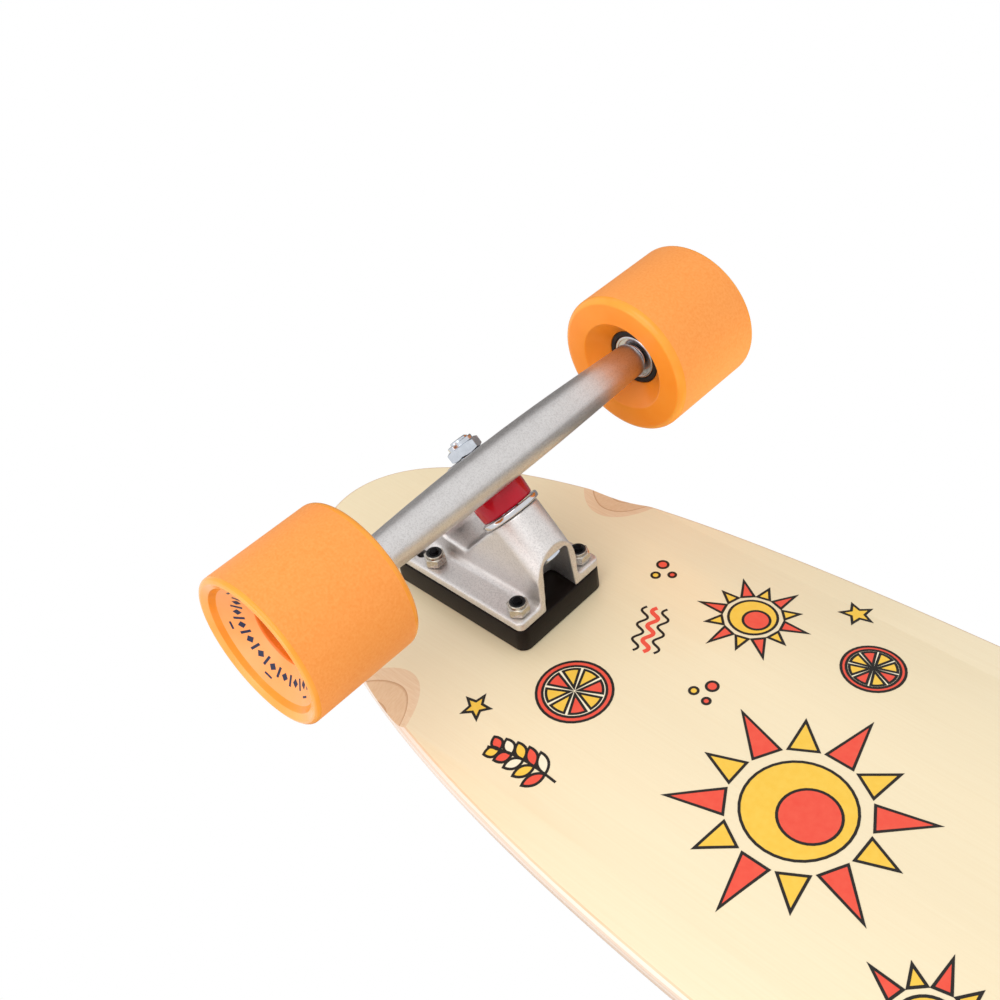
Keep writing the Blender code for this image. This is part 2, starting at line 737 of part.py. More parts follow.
def kingpin_stack(prefix, kingpin, nut):
    """The kingpin, from its head in the tower to its nut, and the bushings and washers on it."""
    head_bottom = HEAD_SEAT - GAP - KINGPIN_HEAD
    pin = cylinder(f"{prefix}_kingpin", hexagon_radius(KINGPIN_FLATS), head_bottom, HEAD_SEAT - GAP, 6)
    add(pin, ZINC, kingpin)
    middle = head_bottom + KINGPIN_HEAD / 2
    join(pin, cutter(cylinder(f"{prefix} shank", KINGPIN_RADIUS, middle, KINGPIN_TIP, ROD_STEPS), kingpin))

    rings = {
        "boardside_bushing": (
            RED_URETHANE,
            bushing_profile(
                BOARDSIDE_BUSHING, BOARDSIDE_BUSHING_HEIGHT, BUSHING_RADIUS, BUSHING_RADIUS, BUSHING_BULGE
            ),
        ),
        "roadside_bushing": (
            RED_URETHANE,
            bushing_profile(ROADSIDE_BUSHING, ROADSIDE_BUSHING_HEIGHT, BUSHING_RADIUS, ROADSIDE_BUSHING_TOP, 0),
        ),
        "boardside_washer": (
            CHROME,
            washer_profile(BOARDSIDE_WASHER, BOARDSIDE_WASHER_HEIGHT, BOARDSIDE_WASHER_RADIUS),
        ),
        "roadside_washer": (
            CHROME,
            washer_profile(ROADSIDE_WASHER, ROADSIDE_WASHER_HEIGHT, ROADSIDE_WASHER_RADIUS),
        ),
    }
    for name, (material, profile) in rings.items():
        shade_round(add(turned(f"{prefix}_{name}", profile), material, kingpin))
    lock = bpy.data.objects.new(f"{prefix}_kingpin_nut", nut)
    add(lock, ZINC, kingpin, (0, 0, KINGPIN_NUT), (0, 0, KINGPIN_NUT_TURN))


def pivot_cup(name, kingpin):
    """The soft cup that the hanger's pivot turns in, with a rim over the mouth of its housing."""
    profile = [
        (0, CUP_BOTTOM),
        (CUP_RADIUS, CUP_BOTTOM),
        (CUP_RADIUS, PIVOT_MOUTH - GAP),
        (CUP_RIM_RADIUS, PIVOT_MOUTH - GAP),
        (CUP_RIM_RADIUS, CUP_RIM),
        (CUP_BORE, CUP_RIM),
        (CUP_BORE, CUP_FLOOR_TOP),
        (0, CUP_FLOOR_TOP),
    ]
    shade_round(add(turned(name, profile), BLACK_URETHANE, kingpin, turn=(0, QUARTER_TURN, 0)))


def bar_profile():
    """The hanger's bar: thickest in the middle, with a straight sleeve at each end."""
    half = HANGER_WIDTH / 2
    points = [(0, half), (SLEEVE_RADIUS - SLEEVE_EDGE, half), (SLEEVE_RADIUS, half - SLEEVE_EDGE)]
    for step in range(BAR_STATIONS + 1):
        share = math.cos(HALF_TURN * step / BAR_STATIONS)
        swell = (BAR_RADIUS - SLEEVE_RADIUS) * math.cos(share * QUARTER_TURN)
        points.append((SLEEVE_RADIUS + swell, share * (half - SLEEVE_LENGTH)))
    return points + [(SLEEVE_RADIUS, -half + SLEEVE_EDGE), (SLEEVE_RADIUS - SLEEVE_EDGE, -half), (0, -half)]


def hanger(name, steering):
    """The casting that steers: the axle's bar, the ring round the kingpin and the arm with the pivot."""
    ring = add(cylinder(name, RING_RADIUS, -RING_HALF, RING_HALF, BAR_STEPS), CAST_ALUMINIUM, steering)
    to_pivot = (0, QUARTER_TURN, 0)
    axle_place = (-AXLE_FROM_RING, 0, AXLE_RAKE)
    along_axle = (QUARTER_TURN, 0, 0)

    bar_mesh = evaluated_mesh(cutter(turned(f"{name} bar", bar_profile(), BAR_STEPS)))
    for vertex in bar_mesh.vertices:
        share = vertex.co.z / (HANGER_WIDTH / 2)
        vertex.co.y += BAR_BOW * (1 - share * share)
    join(ring, cutter(bpy.data.objects.new(f"{name} bar", bar_mesh), steering, axle_place, along_axle))

    web_outline = [
        (0, WEB_RING_HALF_WIDTH),
        (-AXLE_FROM_RING, WEB_BAR_HALF_WIDTH),
        (-AXLE_FROM_RING, -WEB_BAR_HALF_WIDTH),
        (0, -WEB_RING_HALF_WIDTH),
    ]
    join(ring, cutter(slab(f"{name} web", web_outline, WEB_THICKNESS), steering))

    arm = cylinder(f"{name} arm", ARM_ROOT_RADIUS, RING_RADIUS / 2, ARM_END, RING_STEPS, ARM_TIP_RADIUS)
    join(ring, cutter(arm, steering, turn=to_pivot))
    pivot_profile = [
        (0, PIVOT_TIP),
        (PIVOT_RADIUS - PIVOT_EDGE, PIVOT_TIP),
        (PIVOT_RADIUS, PIVOT_TIP - PIVOT_EDGE),
        (PIVOT_RADIUS, ARM_END - INTO),
        (0, ARM_END - INTO),
    ]
    join(ring, cutter(turned(f"{name} pivot", pivot_profile, ROD_STEPS), steering, turn=to_pivot))

    pocket = BUSHING_RADIUS + BUSHING_BULGE + POCKET_CLEARANCE
    reach = BAR_RADIUS + AXLE_RAKE + BEYOND
    cut(ring, cutter(cylinder(f"{name} boardside pocket", pocket, -reach, -RING_HALF, BAR_STEPS), steering))
    cut(ring, cutter(cylinder(f"{name} roadside pocket", pocket, RING_HALF, reach, BAR_STEPS), steering))
    cut(ring, cutter(cylinder(f"{name} hole", RING_HOLE_RADIUS, -reach, reach), steering))
    half = HANGER_WIDTH / 2 + BEYOND
    bore = cylinder(f"{name} bore", AXLE_RADIUS + GAP, -half, half, ROD_STEPS)
    cut(ring, cutter(bore, steering, axle_place, along_axle))
    shade_round(ring)


def axle(name, wheel_line):
    """The steel axle through the hanger, with the speed rings and the bearing spacers that it carries."""
    collars = [
        (OUTER_RING + SPEED_RING_THICKNESS, OUTER_RING),
        (OUTER_BEARING - GAP, INNER_BEARING + BEARING_WIDTH + GAP),
        (INNER_BEARING - GAP, INNER_BEARING - GAP - SPEED_RING_THICKNESS),
    ]
    half = [(0, AXLE_TIP), (AXLE_RADIUS - AXLE_EDGE, AXLE_TIP), (AXLE_RADIUS, AXLE_TIP - AXLE_EDGE)]
    for outer, inner in collars:
        half += [(AXLE_RADIUS, outer), (SPACER_RADIUS, outer), (SPACER_RADIUS, inner), (AXLE_RADIUS, inner)]
    other_half = [(radius, -height) for radius, height in reversed(half)]
    rod = turned(name, half + other_half, ROD_STEPS)
    shade_round(add(rod, AXLE_STEEL, wheel_line, turn=(QUARTER_TURN, 0, 0)))


def tyre_profile():
    """The urethane, from the hub's outer mouth over the tread and back through the bore."""
    bore = CORE_RADIUS + GAP
    tread = WHEEL_RADIUS / math.cos(HALF_TURN / TYRE_STEPS)
    points = [
        (HUB_MOUTH_RADIUS, WHEEL_WIDTH - HUB_MOUTH_DEPTH),
        (DISH_FLOOR_RADIUS, WHEEL_WIDTH - DISH_FLOOR_DEPTH),
        (OUTER_DISH_RADIUS, WHEEL_WIDTH - OUTER_DISH_EDGE),
    ]
    for lip_radius, centre, first in ((OUTER_LIP, WHEEL_WIDTH - OUTER_LIP, 1), (INNER_LIP, INNER_LIP, 0)):
        for step in range(LIP_STEPS + 1):
            angle = QUARTER_TURN * (first - step / LIP_STEPS)
            points.append((tread - lip_radius * (1 - math.cos(angle)), centre + lip_radius * math.sin(angle)))
    return points + [
        (INNER_DISH_RADIUS + INNER_DISH_EDGE, 0),
        (INNER_DISH_RADIUS, INNER_DISH_EDGE),
        (bore, WHEEL_RECESS),
        (bore, WHEEL_RECESS + 2 * BEARING_WIDTH + BEARING_SPACING),
    ]


def core_profile():
    """The nylon core: a seat for a bearing at each end and a stop between them."""
    end = WHEEL_RECESS + 2 * BEARING_WIDTH + BEARING_SPACING
    seat = BEARING_RADIUS + GAP
    stop = BEARING_RADIUS - CORE_STOP
    first_stop = WHEEL_RECESS + BEARING_WIDTH + GAP
    second_stop = end - BEARING_WIDTH - GAP
    return [
        (CORE_RADIUS, end),
        (CORE_RADIUS, WHEEL_RECESS),
        (seat, WHEEL_RECESS),
        (seat, first_stop),
        (stop, first_stop),
        (stop, second_stop),
        (seat, second_stop),
        (seat, end),
    ]


def bearing_profile(start):
    end = start + BEARING_WIDTH
    bore = AXLE_RADIUS + GAP
    return [(BEARING_RADIUS, end), (BEARING_RADIUS, start), (bore, start), (bore, end)]


def wheel_meshes():
    """The meshes that the four wheels share; each stands on its inner face, its outer face up."""
    second = WHEEL_RECESS + BEARING_WIDTH + BEARING_SPACING
    # Half a step of turn puts a flat of the faceted tread on the ground.
    tyre = turned("tyre", tyre_profile(), TYRE_STEPS, HALF_TURN / TYRE_STEPS)
    pieces = {
        "tyre": (tyre, ORANGE_URETHANE),
        "core": (turned("core", core_profile()), BLACK_NYLON),
        "inner_bearing": (turned("inner bearing", bearing_profile(WHEEL_RECESS)), ZINC),
        "outer_bearing": (turned("outer bearing", bearing_profile(second)), ZINC),
    }
    meshes = {}
    for name, (piece, material) in pieces.items():
        shade_round(piece)
        meshes[name] = evaluated_mesh(cutter(piece))
        meshes[name].materials.append(material)
    return meshes


def wheel(prefix, wheel_line, side, meshes, nut):
    """A wheel and its nut on the end of the axle that points to side 1 or -1 along Y."""
    turn = (-side * QUARTER_TURN, 0, 0)
    for name, mesh in meshes.items():
        piece = bpy.data.objects.new(f"{prefix}_{name}", mesh)
        add(piece, mesh.materials[0], wheel_line, (0, side * WHEEL_START, 0), turn)
    axle_nut = bpy.data.objects.new(f"{prefix}_axle_nut", nut)
    add(axle_nut, ZINC, wheel_line, (0, side * AXLE_NUT, 0), turn)


def truck_empties(prefix, place, turn):
    """The four empties that a truck hangs on."""
    leaning = (0, HALF_TURN + KINGPIN_LEAN, 0)
    truck = empty(prefix, None, (place, 0, DECK_UNDERSIDE), (0, 0, turn))
    kingpin = empty(f"{prefix} kingpin", truck, (RING_AHEAD, 0, -RING_BELOW), leaning)
    steering = empty(f"{prefix} steering", truck, (RING_AHEAD, 0, -RING_BELOW), leaning)
    level = (0, -HALF_TURN - KINGPIN_LEAN, 0)
    wheel_line = empty(f"{prefix} wheel line", steering, (-AXLE_FROM_RING, 0, AXLE_RAKE), level)
    return truck, kingpin, steering, wheel_line


def longboard():
    trucks = {
        "rear": truck_empties("rear truck", REAR_TRUCK, 0),
        "front": truck_empties("front truck", FRONT_TRUCK, HALF_TURN),
    }
    bolted = [empties[0] for empties in trucks.values()]
    deck(bolted)
    grip_tape(bolted)

    bolt = evaluated_mesh(cutter(turned("deck bolt", bolt_profile(), BOLT_STEPS)))
    deck_nut = lock_nut(
        "deck nut", LOCK_NUT_FLATS, LOCK_NUT_HEX, LOCK_NUT_COLLAR_RADIUS, LOCK_NUT_COLLAR, BOLT_RADIUS
    )
    kingpin_nut = lock_nut(
        "kingpin nut",
        KINGPIN_FLATS,
        KINGPIN_NUT_HEX,
        KINGPIN_NUT_COLLAR_RADIUS,
        KINGPIN_NUT_COLLAR,
        KINGPIN_RADIUS,
    )
    axle_nut = lock_nut(
        "axle nut", AXLE_NUT_FLATS, AXLE_NUT_HEX, AXLE_NUT_COLLAR_RADIUS, AXLE_NUT_COLLAR, AXLE_RADIUS
    )
    meshes = wheel_meshes()

    for prefix, (truck, kingpin, steering, wheel_line) in trucks.items():
        riser_pad(f"{prefix}_riser_pad", truck)
        baseplate(f"{prefix}_baseplate", truck, kingpin)
        truck_bolts(prefix, truck, bolt, deck_nut)
        kingpin_stack(prefix, kingpin, kingpin_nut)
        pivot_cup(f"{prefix}_pivot_cup", kingpin)
        hanger(f"{prefix}_hanger", steering)
        axle(f"{prefix}_axle", wheel_line)
        # The front truck is turned round, so its +Y side is on the board's right.
        sides = {"left": 1, "right": -1} if prefix == "rear" else {"left": -1, "right": 1}
        for hand, side in sides.items():
            wheel(f"{prefix}_{hand}", wheel_line, side, meshes, axle_nut)


longboard()
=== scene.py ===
# %% [markdown]
# # A pintail longboard, seen from under its tail
#
# A longboard is a long wooden deck on two steering trucks and four soft wheels. This script
# dresses a finished CAD model of one: each CAD part stays in charge of how the board moves,
# and each visible piece is made again here with finer curves, softer edges and a real finish.
# Sizes are in millimetres until a mesh is finished, because people who build boards think in
# millimetres, and they repeat the sizes of the CAD source.

# %% Load the frame
import math

import bmesh
import bpy
from mathutils import Matrix, Vector


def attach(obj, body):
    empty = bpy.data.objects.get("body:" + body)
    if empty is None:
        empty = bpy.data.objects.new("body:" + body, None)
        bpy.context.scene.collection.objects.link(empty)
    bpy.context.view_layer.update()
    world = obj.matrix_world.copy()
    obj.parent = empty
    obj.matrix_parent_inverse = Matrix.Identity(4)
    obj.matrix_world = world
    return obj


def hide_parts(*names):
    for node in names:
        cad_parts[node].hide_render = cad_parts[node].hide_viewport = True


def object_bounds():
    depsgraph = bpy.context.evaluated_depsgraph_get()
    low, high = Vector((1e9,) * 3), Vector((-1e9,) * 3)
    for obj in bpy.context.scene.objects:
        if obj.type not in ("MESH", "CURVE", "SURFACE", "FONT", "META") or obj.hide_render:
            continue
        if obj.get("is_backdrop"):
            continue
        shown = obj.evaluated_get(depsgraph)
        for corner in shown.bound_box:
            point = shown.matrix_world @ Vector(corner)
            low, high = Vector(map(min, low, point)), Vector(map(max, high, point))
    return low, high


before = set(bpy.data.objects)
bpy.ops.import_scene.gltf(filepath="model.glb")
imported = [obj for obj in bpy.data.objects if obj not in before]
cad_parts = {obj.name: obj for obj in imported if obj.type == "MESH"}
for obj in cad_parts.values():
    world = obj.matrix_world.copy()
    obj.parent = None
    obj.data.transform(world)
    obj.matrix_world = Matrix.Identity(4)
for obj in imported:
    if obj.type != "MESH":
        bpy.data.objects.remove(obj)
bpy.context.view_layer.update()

# %% [markdown]
# ## Sizes and places
#
# Everything on a truck is placed from three frames. The truck's frame lies on the underside of the deck.
# The kingpin's frame leans: its Z runs along the kingpin to the nut and its X to the pivot. The wheel
# line's frame lies on the axle, level with the deck. The front truck is the rear one turned half round.

# %% Sizes in millimetres
METRES = Matrix.Scale(0.001, 4)
GAP = 0.3

LENGTH, WIDTH, THICKNESS = 1016.0, 224.0, 10.0
TAIL_LENGTH = 560.0
TAIL_POWERS, NOSE_POWERS = (3.62, 2.03), (2.60, 2.20)
FLAT_HALF_WIDTH, CONCAVE_RISE = 27.7, 11.0
DECK_EDGE = 2.8
GRIP_THICKNESS, GRIP_INSET = 0.8, 3.0
UNDERSIDE = 117.5
REAR_TRUCK, FRONT_TRUCK = -388.0, 358.0

WELL_RADIUS, WELL_SLOPE, WELL_TURN, WELL_AHEAD = 65.0, math.radians(18), math.radians(10.8), 3.0
WELL_STARTS = {"rear": 58.9, "front": 61.5}

BOLTS_LONG, BOLTS_WIDE, SPARE_STEP = 54.0, 41.3, 9.5
BOLT_RADIUS, BOLT_HEAD_RADIUS, BOLT_HEAD_HEIGHT = 2.4, 4.6, 2.7
BOLT_TOP, BOLT_LENGTH = 11.1, 37.3

BASE_TOP, FLANGE_UNDERSIDE = -13.3, -18.3
FLANGE_OUTER_END, FLANGE_INNER_END, FLANGE_HALF_WIDTH = 51.0, 33.8, 27.3
TOWER_RADIUS, SPINE_HALF_WIDTH = 12.7, 12.6

LEAN = math.radians(44)
RING_AHEAD, RING_BELOW = -4.0825, 67.534
AXLE_FROM_RING, AXLE_RAKE = 18.8, 2.65
KINGPIN_RADIUS = 4.75
TOWER_SEAT, HEAD_SEAT, HEAD_BOTTOM, KINGPIN_TIP = -20.3, -39.5, -46.3, 21.5
PIVOT_MOUTH, CUP_BOTTOM, CUP_RADIUS = 44.0, 51.3, 7.8

HALF_HANGER = 90.0
AXLE_RADIUS, AXLE_TIP = 4.0, 126.3
WHEEL_START = 82.4
INNER_BEARING, OUTER_BEARING, BEARING_WIDTH = 9.0, 26.0, 7.0
AXLE_NUT = 116.8


def turn(degrees, axis):
    return Matrix.Rotation(math.radians(degrees), 4, axis)


def move(x, y, z):
    return Matrix.Translation((x, y, z))


TRUCKS = {}
for end, place, facing in (("rear", REAR_TRUCK, 0), ("front", FRONT_TRUCK, 180)):
    on_deck = move(place, 0, UNDERSIDE) @ turn(facing, "Z")
    leaning = on_deck @ move(RING_AHEAD, 0, -RING_BELOW) @ Matrix.Rotation(math.pi + LEAN, 4, "Y")
    level = leaning @ move(-AXLE_FROM_RING, 0, AXLE_RAKE) @ Matrix.Rotation(-math.pi - LEAN, 4, "Y")
    TRUCKS[end] = {"truck": on_deck, "kingpin": leaning, "axle": level}
    print(end, "axle line at", [round(v, 1) for v in level.translation])

BOLT_PLACES = [(x * BOLTS_LONG / 2, y * BOLTS_WIDE / 2) for x in (1, -1) for y in (1, -1)]
SPARE_PLACES = [(-BOLTS_LONG / 2 - SPARE_STEP, y * BOLTS_WIDE / 2) for y in (1, -1)]

# %% [markdown]
# ## Making materials
#
# A hex code is how a paint or a screen writes a colour, but a renderer adds up light, so each
# code is turned to linear light once. One function adds a node of any kind with its settings
# and links. Patterns read Object coordinates, which are metres here, so a pattern that
# repeats every so many millimetres gets 1000 divided by that as its scale.

# %% Helpers for colours and nodes
def colour(code):
    """The linear red, green, blue and alpha of an sRGB hex code."""
    parts = [int(code[place : place + 2], 16) / 255 for place in (1, 3, 5)]
    return (*[part / 12.92 if part <= 0.04045 else ((part + 0.055) / 1.055) ** 2.4 for part in parts], 1.0)


def add_node(tree, kind, sockets=None, **settings):
    """Adds one node. Sockets are set by name or number, to a value or to another node's output."""
    node = tree.nodes.new(kind)
    for name, value in settings.items():
        setattr(node, name, value)
    for name, value in (sockets or {}).items():
        if isinstance(value, bpy.types.NodeSocket):
            tree.links.new(value, node.inputs[name])
        else:
            node.inputs[name].default_value = value
    return node


def every(millimetres):
    """The scale of a pattern that repeats at this distance."""
    return 1000 / millimetres


def new_material(name, **sockets):
    """A material, its tree, its shader and the Object coordinates, with the shader's plain sockets set."""
    made = bpy.data.materials.new(name)
    made.use_nodes = True
    tree = made.node_tree
    shader = tree.nodes["Principled BSDF"]
    for socket, value in sockets.items():
        shader.inputs[socket.replace("_", " ")].default_value = value
    return made, tree, shader, add_node(tree, "ShaderNodeTexCoord").outputs["Object"]


def two_tone(tree, factor, first, second):
    """The output of a mix of two colours."""
    mixed = add_node(tree, "ShaderNodeMix", {0: factor, 6: first, 7: second}, data_type="RGBA")
    return mixed.outputs[2]


def maths(tree, operation, first, second=0.0, third=0.0):
    return add_node(tree, "ShaderNodeMath", {0: first, 1: second, 2: third}, operation=operation).outputs[0]


def noise(tree, place, size, detail=2.0):
    """Soft noise with lumps of this many millimetres."""
    sockets = {"Vector": place, "Scale": every(size), "Detail": detail}
    return add_node(tree, "ShaderNodeTexNoise", sockets).outputs["Fac"]


def fibres(tree, place, lengths, detail):
    """Noise drawn out to streaks of these lengths in millimetres."""
    scales = tuple(every(length) for length in lengths)
    drawn_out = add_node(tree, "ShaderNodeMapping", {"Vector": place, "Scale": scales}).outputs[0]
    sockets = {"Vector": drawn_out, "Scale": 1.0, "Detail": detail}
    return add_node(tree, "ShaderNodeTexNoise", sockets).outputs["Fac"]


def spread(tree, value, low, high, first, last):
    """The value, stretched from low and high to first and last."""
    sockets = {"Value": value, 1: low, 2: high, 3: first, 4: last}
    return add_node(tree, "ShaderNodeMapRange", sockets).outputs[0]


def rise_at(tree, distance, flat, half, rise):
    """How far the deck has risen at a distance from its middle line: flat first, then a parabola."""
    past_flat = maths(tree, "MAXIMUM", maths(tree, "SUBTRACT", distance, flat), 0.0)
    share = maths(tree, "DIVIDE", past_flat, maths(tree, "SUBTRACT", half, flat))
    return maths(tree, "MULTIPLY", maths(tree, "POWER", share, 2.0), rise)


def bumped(tree, shader, height, depth, strength=1.0):
    """Gives the shader a relief as deep as depth in millimetres."""
    sockets = {"Height": height, "Distance": depth / 1000, "Strength": strength}
    relief = add_node(tree, "ShaderNodeBump", sockets)
    tree.links.new(relief.outputs["Normal"], shader.inputs["Normal"])


MATERIALS = {}

# %% [markdown]
# ### Maple plies
#
# The deck is pressed from thin sheets of maple, with the grain of most along the board and of
# some across it. The bottom sheet is stained cream and lacquered. The rim and the scoops over
# the wheels are cut through the sheets, so they show bare wood, and in a scoop the glue lines
# run round it like the lines on a map. Height above the underside therefore decides the
# colour: one material draws the face, the rim and the scoops.

# %% Maple
# Millimetres of a ply with its glue line, the glue line's share of it, and the depth that the
# stain reaches.
PLY, GLUE, LACQUER = 1.9, 0.13, 0.08
# A face whose normal points up or down by less than this belongs to the rim.
RIM_LEAN = 0.8
made, tree, shader, place = new_material(
    "lacquered maple plies", Roughness=0.36, Coat_Weight=0.4, Coat_Roughness=0.16,
)
axes = add_node(tree, "ShaderNodeSeparateXYZ", {0: place})
sideways = maths(tree, "ABSOLUTE", axes.outputs["Y"])
lift = rise_at(tree, sideways, FLAT_HALF_WIDTH / 1000, WIDTH / 2000, CONCAVE_RISE / 1000)
above_underside = maths(tree, "SUBTRACT", axes.outputs["Z"], UNDERSIDE / 1000)
depth = maths(tree, "SUBTRACT", above_underside, lift)
# A little waviness, because sheets are never pressed quite flat.
wavy = maths(tree, "MULTIPLY_ADD", noise(tree, place, 30, 1.0), 0.0009, depth)
sheets = maths(tree, "MULTIPLY", wavy, every(PLY))
within = maths(tree, "FRACT", sheets)
glue = spread(tree, within, 0.0, GLUE, 1.0, 0.0)
odd = maths(tree, "FRACT", maths(tree, "MULTIPLY", sheets, 0.5))
crossed = maths(tree, "GREATER_THAN", odd, 0.5)
# Maple's fibres: streaks 0.9 mm wide, 45 mm long where they run along the board and 14 mm
# where they cross it.
streaks = fibres(tree, place, (45, 0.9, 0.9), 4.0)
crossing = fibres(tree, place, (0.9, 14, 0.9), 3.0)
long_ply = two_tone(tree, streaks, colour("#E3BA8C"), colour("#F8DFBE"))
cross_ply = two_tone(tree, crossing, colour("#DDB285"), colour("#F0D0A9"))
plies = two_tone(tree, crossed, long_ply, cross_ply)
bare = two_tone(tree, glue, plies, colour("#C38F62"))
# On the steep rim the bare plies are painted pale and pinkish, a painted highlight along the
# rounded edge; the glue lines there are the wood's own.
normal = add_node(tree, "ShaderNodeNewGeometry").outputs["True Normal"]
upwards = add_node(tree, "ShaderNodeSeparateXYZ", {0: normal}).outputs["Z"]
steep = maths(tree, "LESS_THAN", maths(tree, "ABSOLUTE", upwards), RIM_LEAN)
# Painted highlight: the rim's plies are drawn much paler than those of the face and the scoops.
rim_ply_painted_highlight = two_tone(tree, crossed, colour("#F6E3D2"), colour("#EED3BC"))
rim_wood_painted_highlight = two_tone(tree, maths(tree, "MULTIPLY", glue, 0.5), rim_ply_painted_highlight, colour("#D9AE8A"))
cut_wood = two_tone(tree, steep, bare, rim_wood_painted_highlight)
stain = two_tone(tree, streaks, colour("#F0DEB8"), colour("#F5E6C3"))
bottom_face = maths(tree, "LESS_THAN", depth, LACQUER / 1000)
tree.links.new(two_tone(tree, bottom_face, cut_wood, stain), shader.inputs["Base Color"])
bumped(tree, shader, streaks, 0.015)
MATERIALS["maple"] = made

# %% [markdown]
# ### Grip tape
#
# The sheet on top is paper with black silicon carbide grit, like coarse sandpaper. Its grains are about 0.4
# mm; here they are drawn 0.8 mm wide so that they show. Most are dull, and a few happen to catch the light.

# %% Grip tape
made, tree, shader, place = new_material("silicon carbide grip tape", Roughness=0.85)
grains = add_node(tree, "ShaderNodeTexVoronoi", {"Vector": place, "Scale": every(0.8)})
lit = add_node(tree, "ShaderNodeSeparateColor", {0: grains.outputs["Color"]}).outputs[0]
sparkle = spread(tree, lit, 0.9, 1.0, 0.0, 1.0)
tree.links.new(two_tone(tree, sparkle, colour("#1D1C1E"), colour("#5A585C")), shader.inputs["Base Color"])
bumped(tree, shader, grains.outputs["Distance"], 0.3, 0.8)
MATERIALS["grip"] = made

# %% [markdown]
# ### Riser
#
# The block between deck and truck is moulded black polyurethane. It is satin rather than
# shiny, with the faint orange-peel of a sandblasted mould.

# %% Riser
made, tree, shader, place = new_material(
    "moulded black polyurethane", Roughness=0.36, Specular_IOR_Level=0.12,
)
peel = noise(tree, place, 1.2)
tree.links.new(two_tone(tree, peel, colour("#140E0B"), colour("#1C1512")), shader.inputs["Base Color"])
bumped(tree, shader, peel, 0.05)
MATERIALS["riser_rubber"] = made

# %% [markdown]
# ### Cast aluminium
#
# Baseplate and hanger are cast, then tumbled with ceramic chips until the skin is satin.
# Tumbling leaves a fine even grain. The baseplate comes out rougher and paler than the hanger.

# %% Cast aluminium
# Name, dark and light colour, least and most roughness.
CASTINGS = {
    "cast_aluminium": ("tumbled cast aluminium", "#CFCCCB", "#DCDAD9", 0.30, 0.44),
    "coarse_aluminium": ("coarsely tumbled cast aluminium", "#D8D4D2", "#E4E0DE", 0.38, 0.52),
}
for slot, (name, dark, light, smooth, dull) in CASTINGS.items():
    made, tree, shader, place = new_material(name, Metallic=1.0)
    grain = noise(tree, place, 0.9, 3.0)
    cloud = noise(tree, place, 8)
    peened = add_node(tree, "ShaderNodeTexVoronoi", {"Vector": place, "Scale": every(0.45)})
    facet = add_node(tree, "ShaderNodeSeparateColor", {0: peened.outputs["Color"]}).outputs[0]
    skin = two_tone(tree, cloud, colour(dark), colour(light))
    dull_facets = maths(tree, "MULTIPLY", spread(tree, facet, 0.4, 1.0, 0.0, 1.0), 0.5)
    tree.links.new(two_tone(tree, dull_facets, skin, colour("#B4B0AF")), shader.inputs["Base Color"])
    tree.links.new(spread(tree, grain, 0.3, 0.7, smooth, dull), shader.inputs["Roughness"])
    bumped(tree, shader, maths(tree, "ADD", grain, peened.outputs["Distance"]), 0.02)
    MATERIALS[slot] = made

# %% [markdown]
# ### Steels
#
# Five steels are told apart by how they are coated. Zinc plate is pale and slightly blue with a soft
# bloom; on the deck's lock nuts it is drawn darker, duller and a little brown. Chrome is a near
# mirror. The axle is plain ground steel, darker still. The deck bolts have black oxide, which is
# thin, dark and a bit oily.

# %% Zinc, chrome, ground steel and black oxide
# Name, dark and light colour, least and most roughness, millimetres from bloom to bloom.
STEELS = {
    "zinc_steel": ("zinc plated steel", "#B9BEC6", "#D9DEE6", 0.14, 0.26, 3.0),
    "chromed_steel": ("chromed steel", "#C6C6C9", "#D6D6D9", 0.10, 0.18, 6.0),
    "dull_zinc": ("dull zinc plated steel", "#A69F96", "#CFC8BD", 0.18, 0.32, 2.0),
    "axle_steel": ("ground axle steel", "#8F8B88", "#A9A5A1", 0.26, 0.38, 1.5),
    "black_steel": ("black oxide steel", "#121214", "#1E1D1F", 0.34, 0.46, 2.0),
}
for slot, (name, dark, light, smooth, dull, size) in STEELS.items():
    made, tree, shader, place = new_material(name, Metallic=1.0)
    bloom = noise(tree, place, size, 3.0)
    tree.links.new(two_tone(tree, bloom, colour(dark), colour(light)), shader.inputs["Base Color"])
    tree.links.new(spread(tree, bloom, 0.3, 0.7, smooth, dull), shader.inputs["Roughness"])
    bumped(tree, shader, bloom, 0.01)
    MATERIALS[slot] = made

# %% [markdown]
# ### Urethanes, nylon and inks
#
# Wheels and bushings are cast polyurethane, a rubbery plastic that lets a little light in. On a wheel
# that light is painted into the colours: the thin lip and its rounded rim are painted a brighter
# yellow-orange as a painted highlight, the step under the lip and the narrow mouth, where light goes in
# and out many times, are painted deep orange as painted shade, and the flat dish is painted pale,
# partly as painted light. A wheel's tread is ground after casting, which leaves it matt and finely
# mottled, while the rest keeps the gloss of the mould. That makes seven finishes of one plastic.
# Bushings stay glossy all over. The inks of the deck and of the wheels are plastics too, so they join
# the list.

# %% Urethanes, nylon and inks
# Name, deep and pale colour, roughness, millimetres from spot to spot, depth of the relief.
# Painted light in these colours: rim and lip are painted highlights, step and mouth painted shade, and the
# dish partly painted light.
ORANGES = {
    "orange_tread": ("orange urethane, ground tread", "#F8943C", "#FFA551", 0.5, 1.1, 0.07),
    "orange_urethane": ("orange urethane, moulded gloss", "#FA8A18", "#FE962A", 0.3, 18.0, 0.03),
    "orange_lip": ("orange urethane, thin lip", "#FF9F3C", "#FFAF55", 0.2, 14.0, 0.02),
    "orange_rim": ("orange urethane, rounded rim", "#FC9A2C", "#FFA83C", 0.24, 14.0, 0.02),
    "orange_step": ("orange urethane, step under the lip", "#F88C1C", "#FD9A2A", 0.24, 12.0, 0.02),
    "orange_mouth": ("orange urethane, deep mouth", "#F8741A", "#FF8424", 0.3, 12.0, 0.02),
    "orange_dish": ("orange urethane, milky dish", "#FF9E4E", "#FFB06C", 0.34, 22.0, 0.03),
}
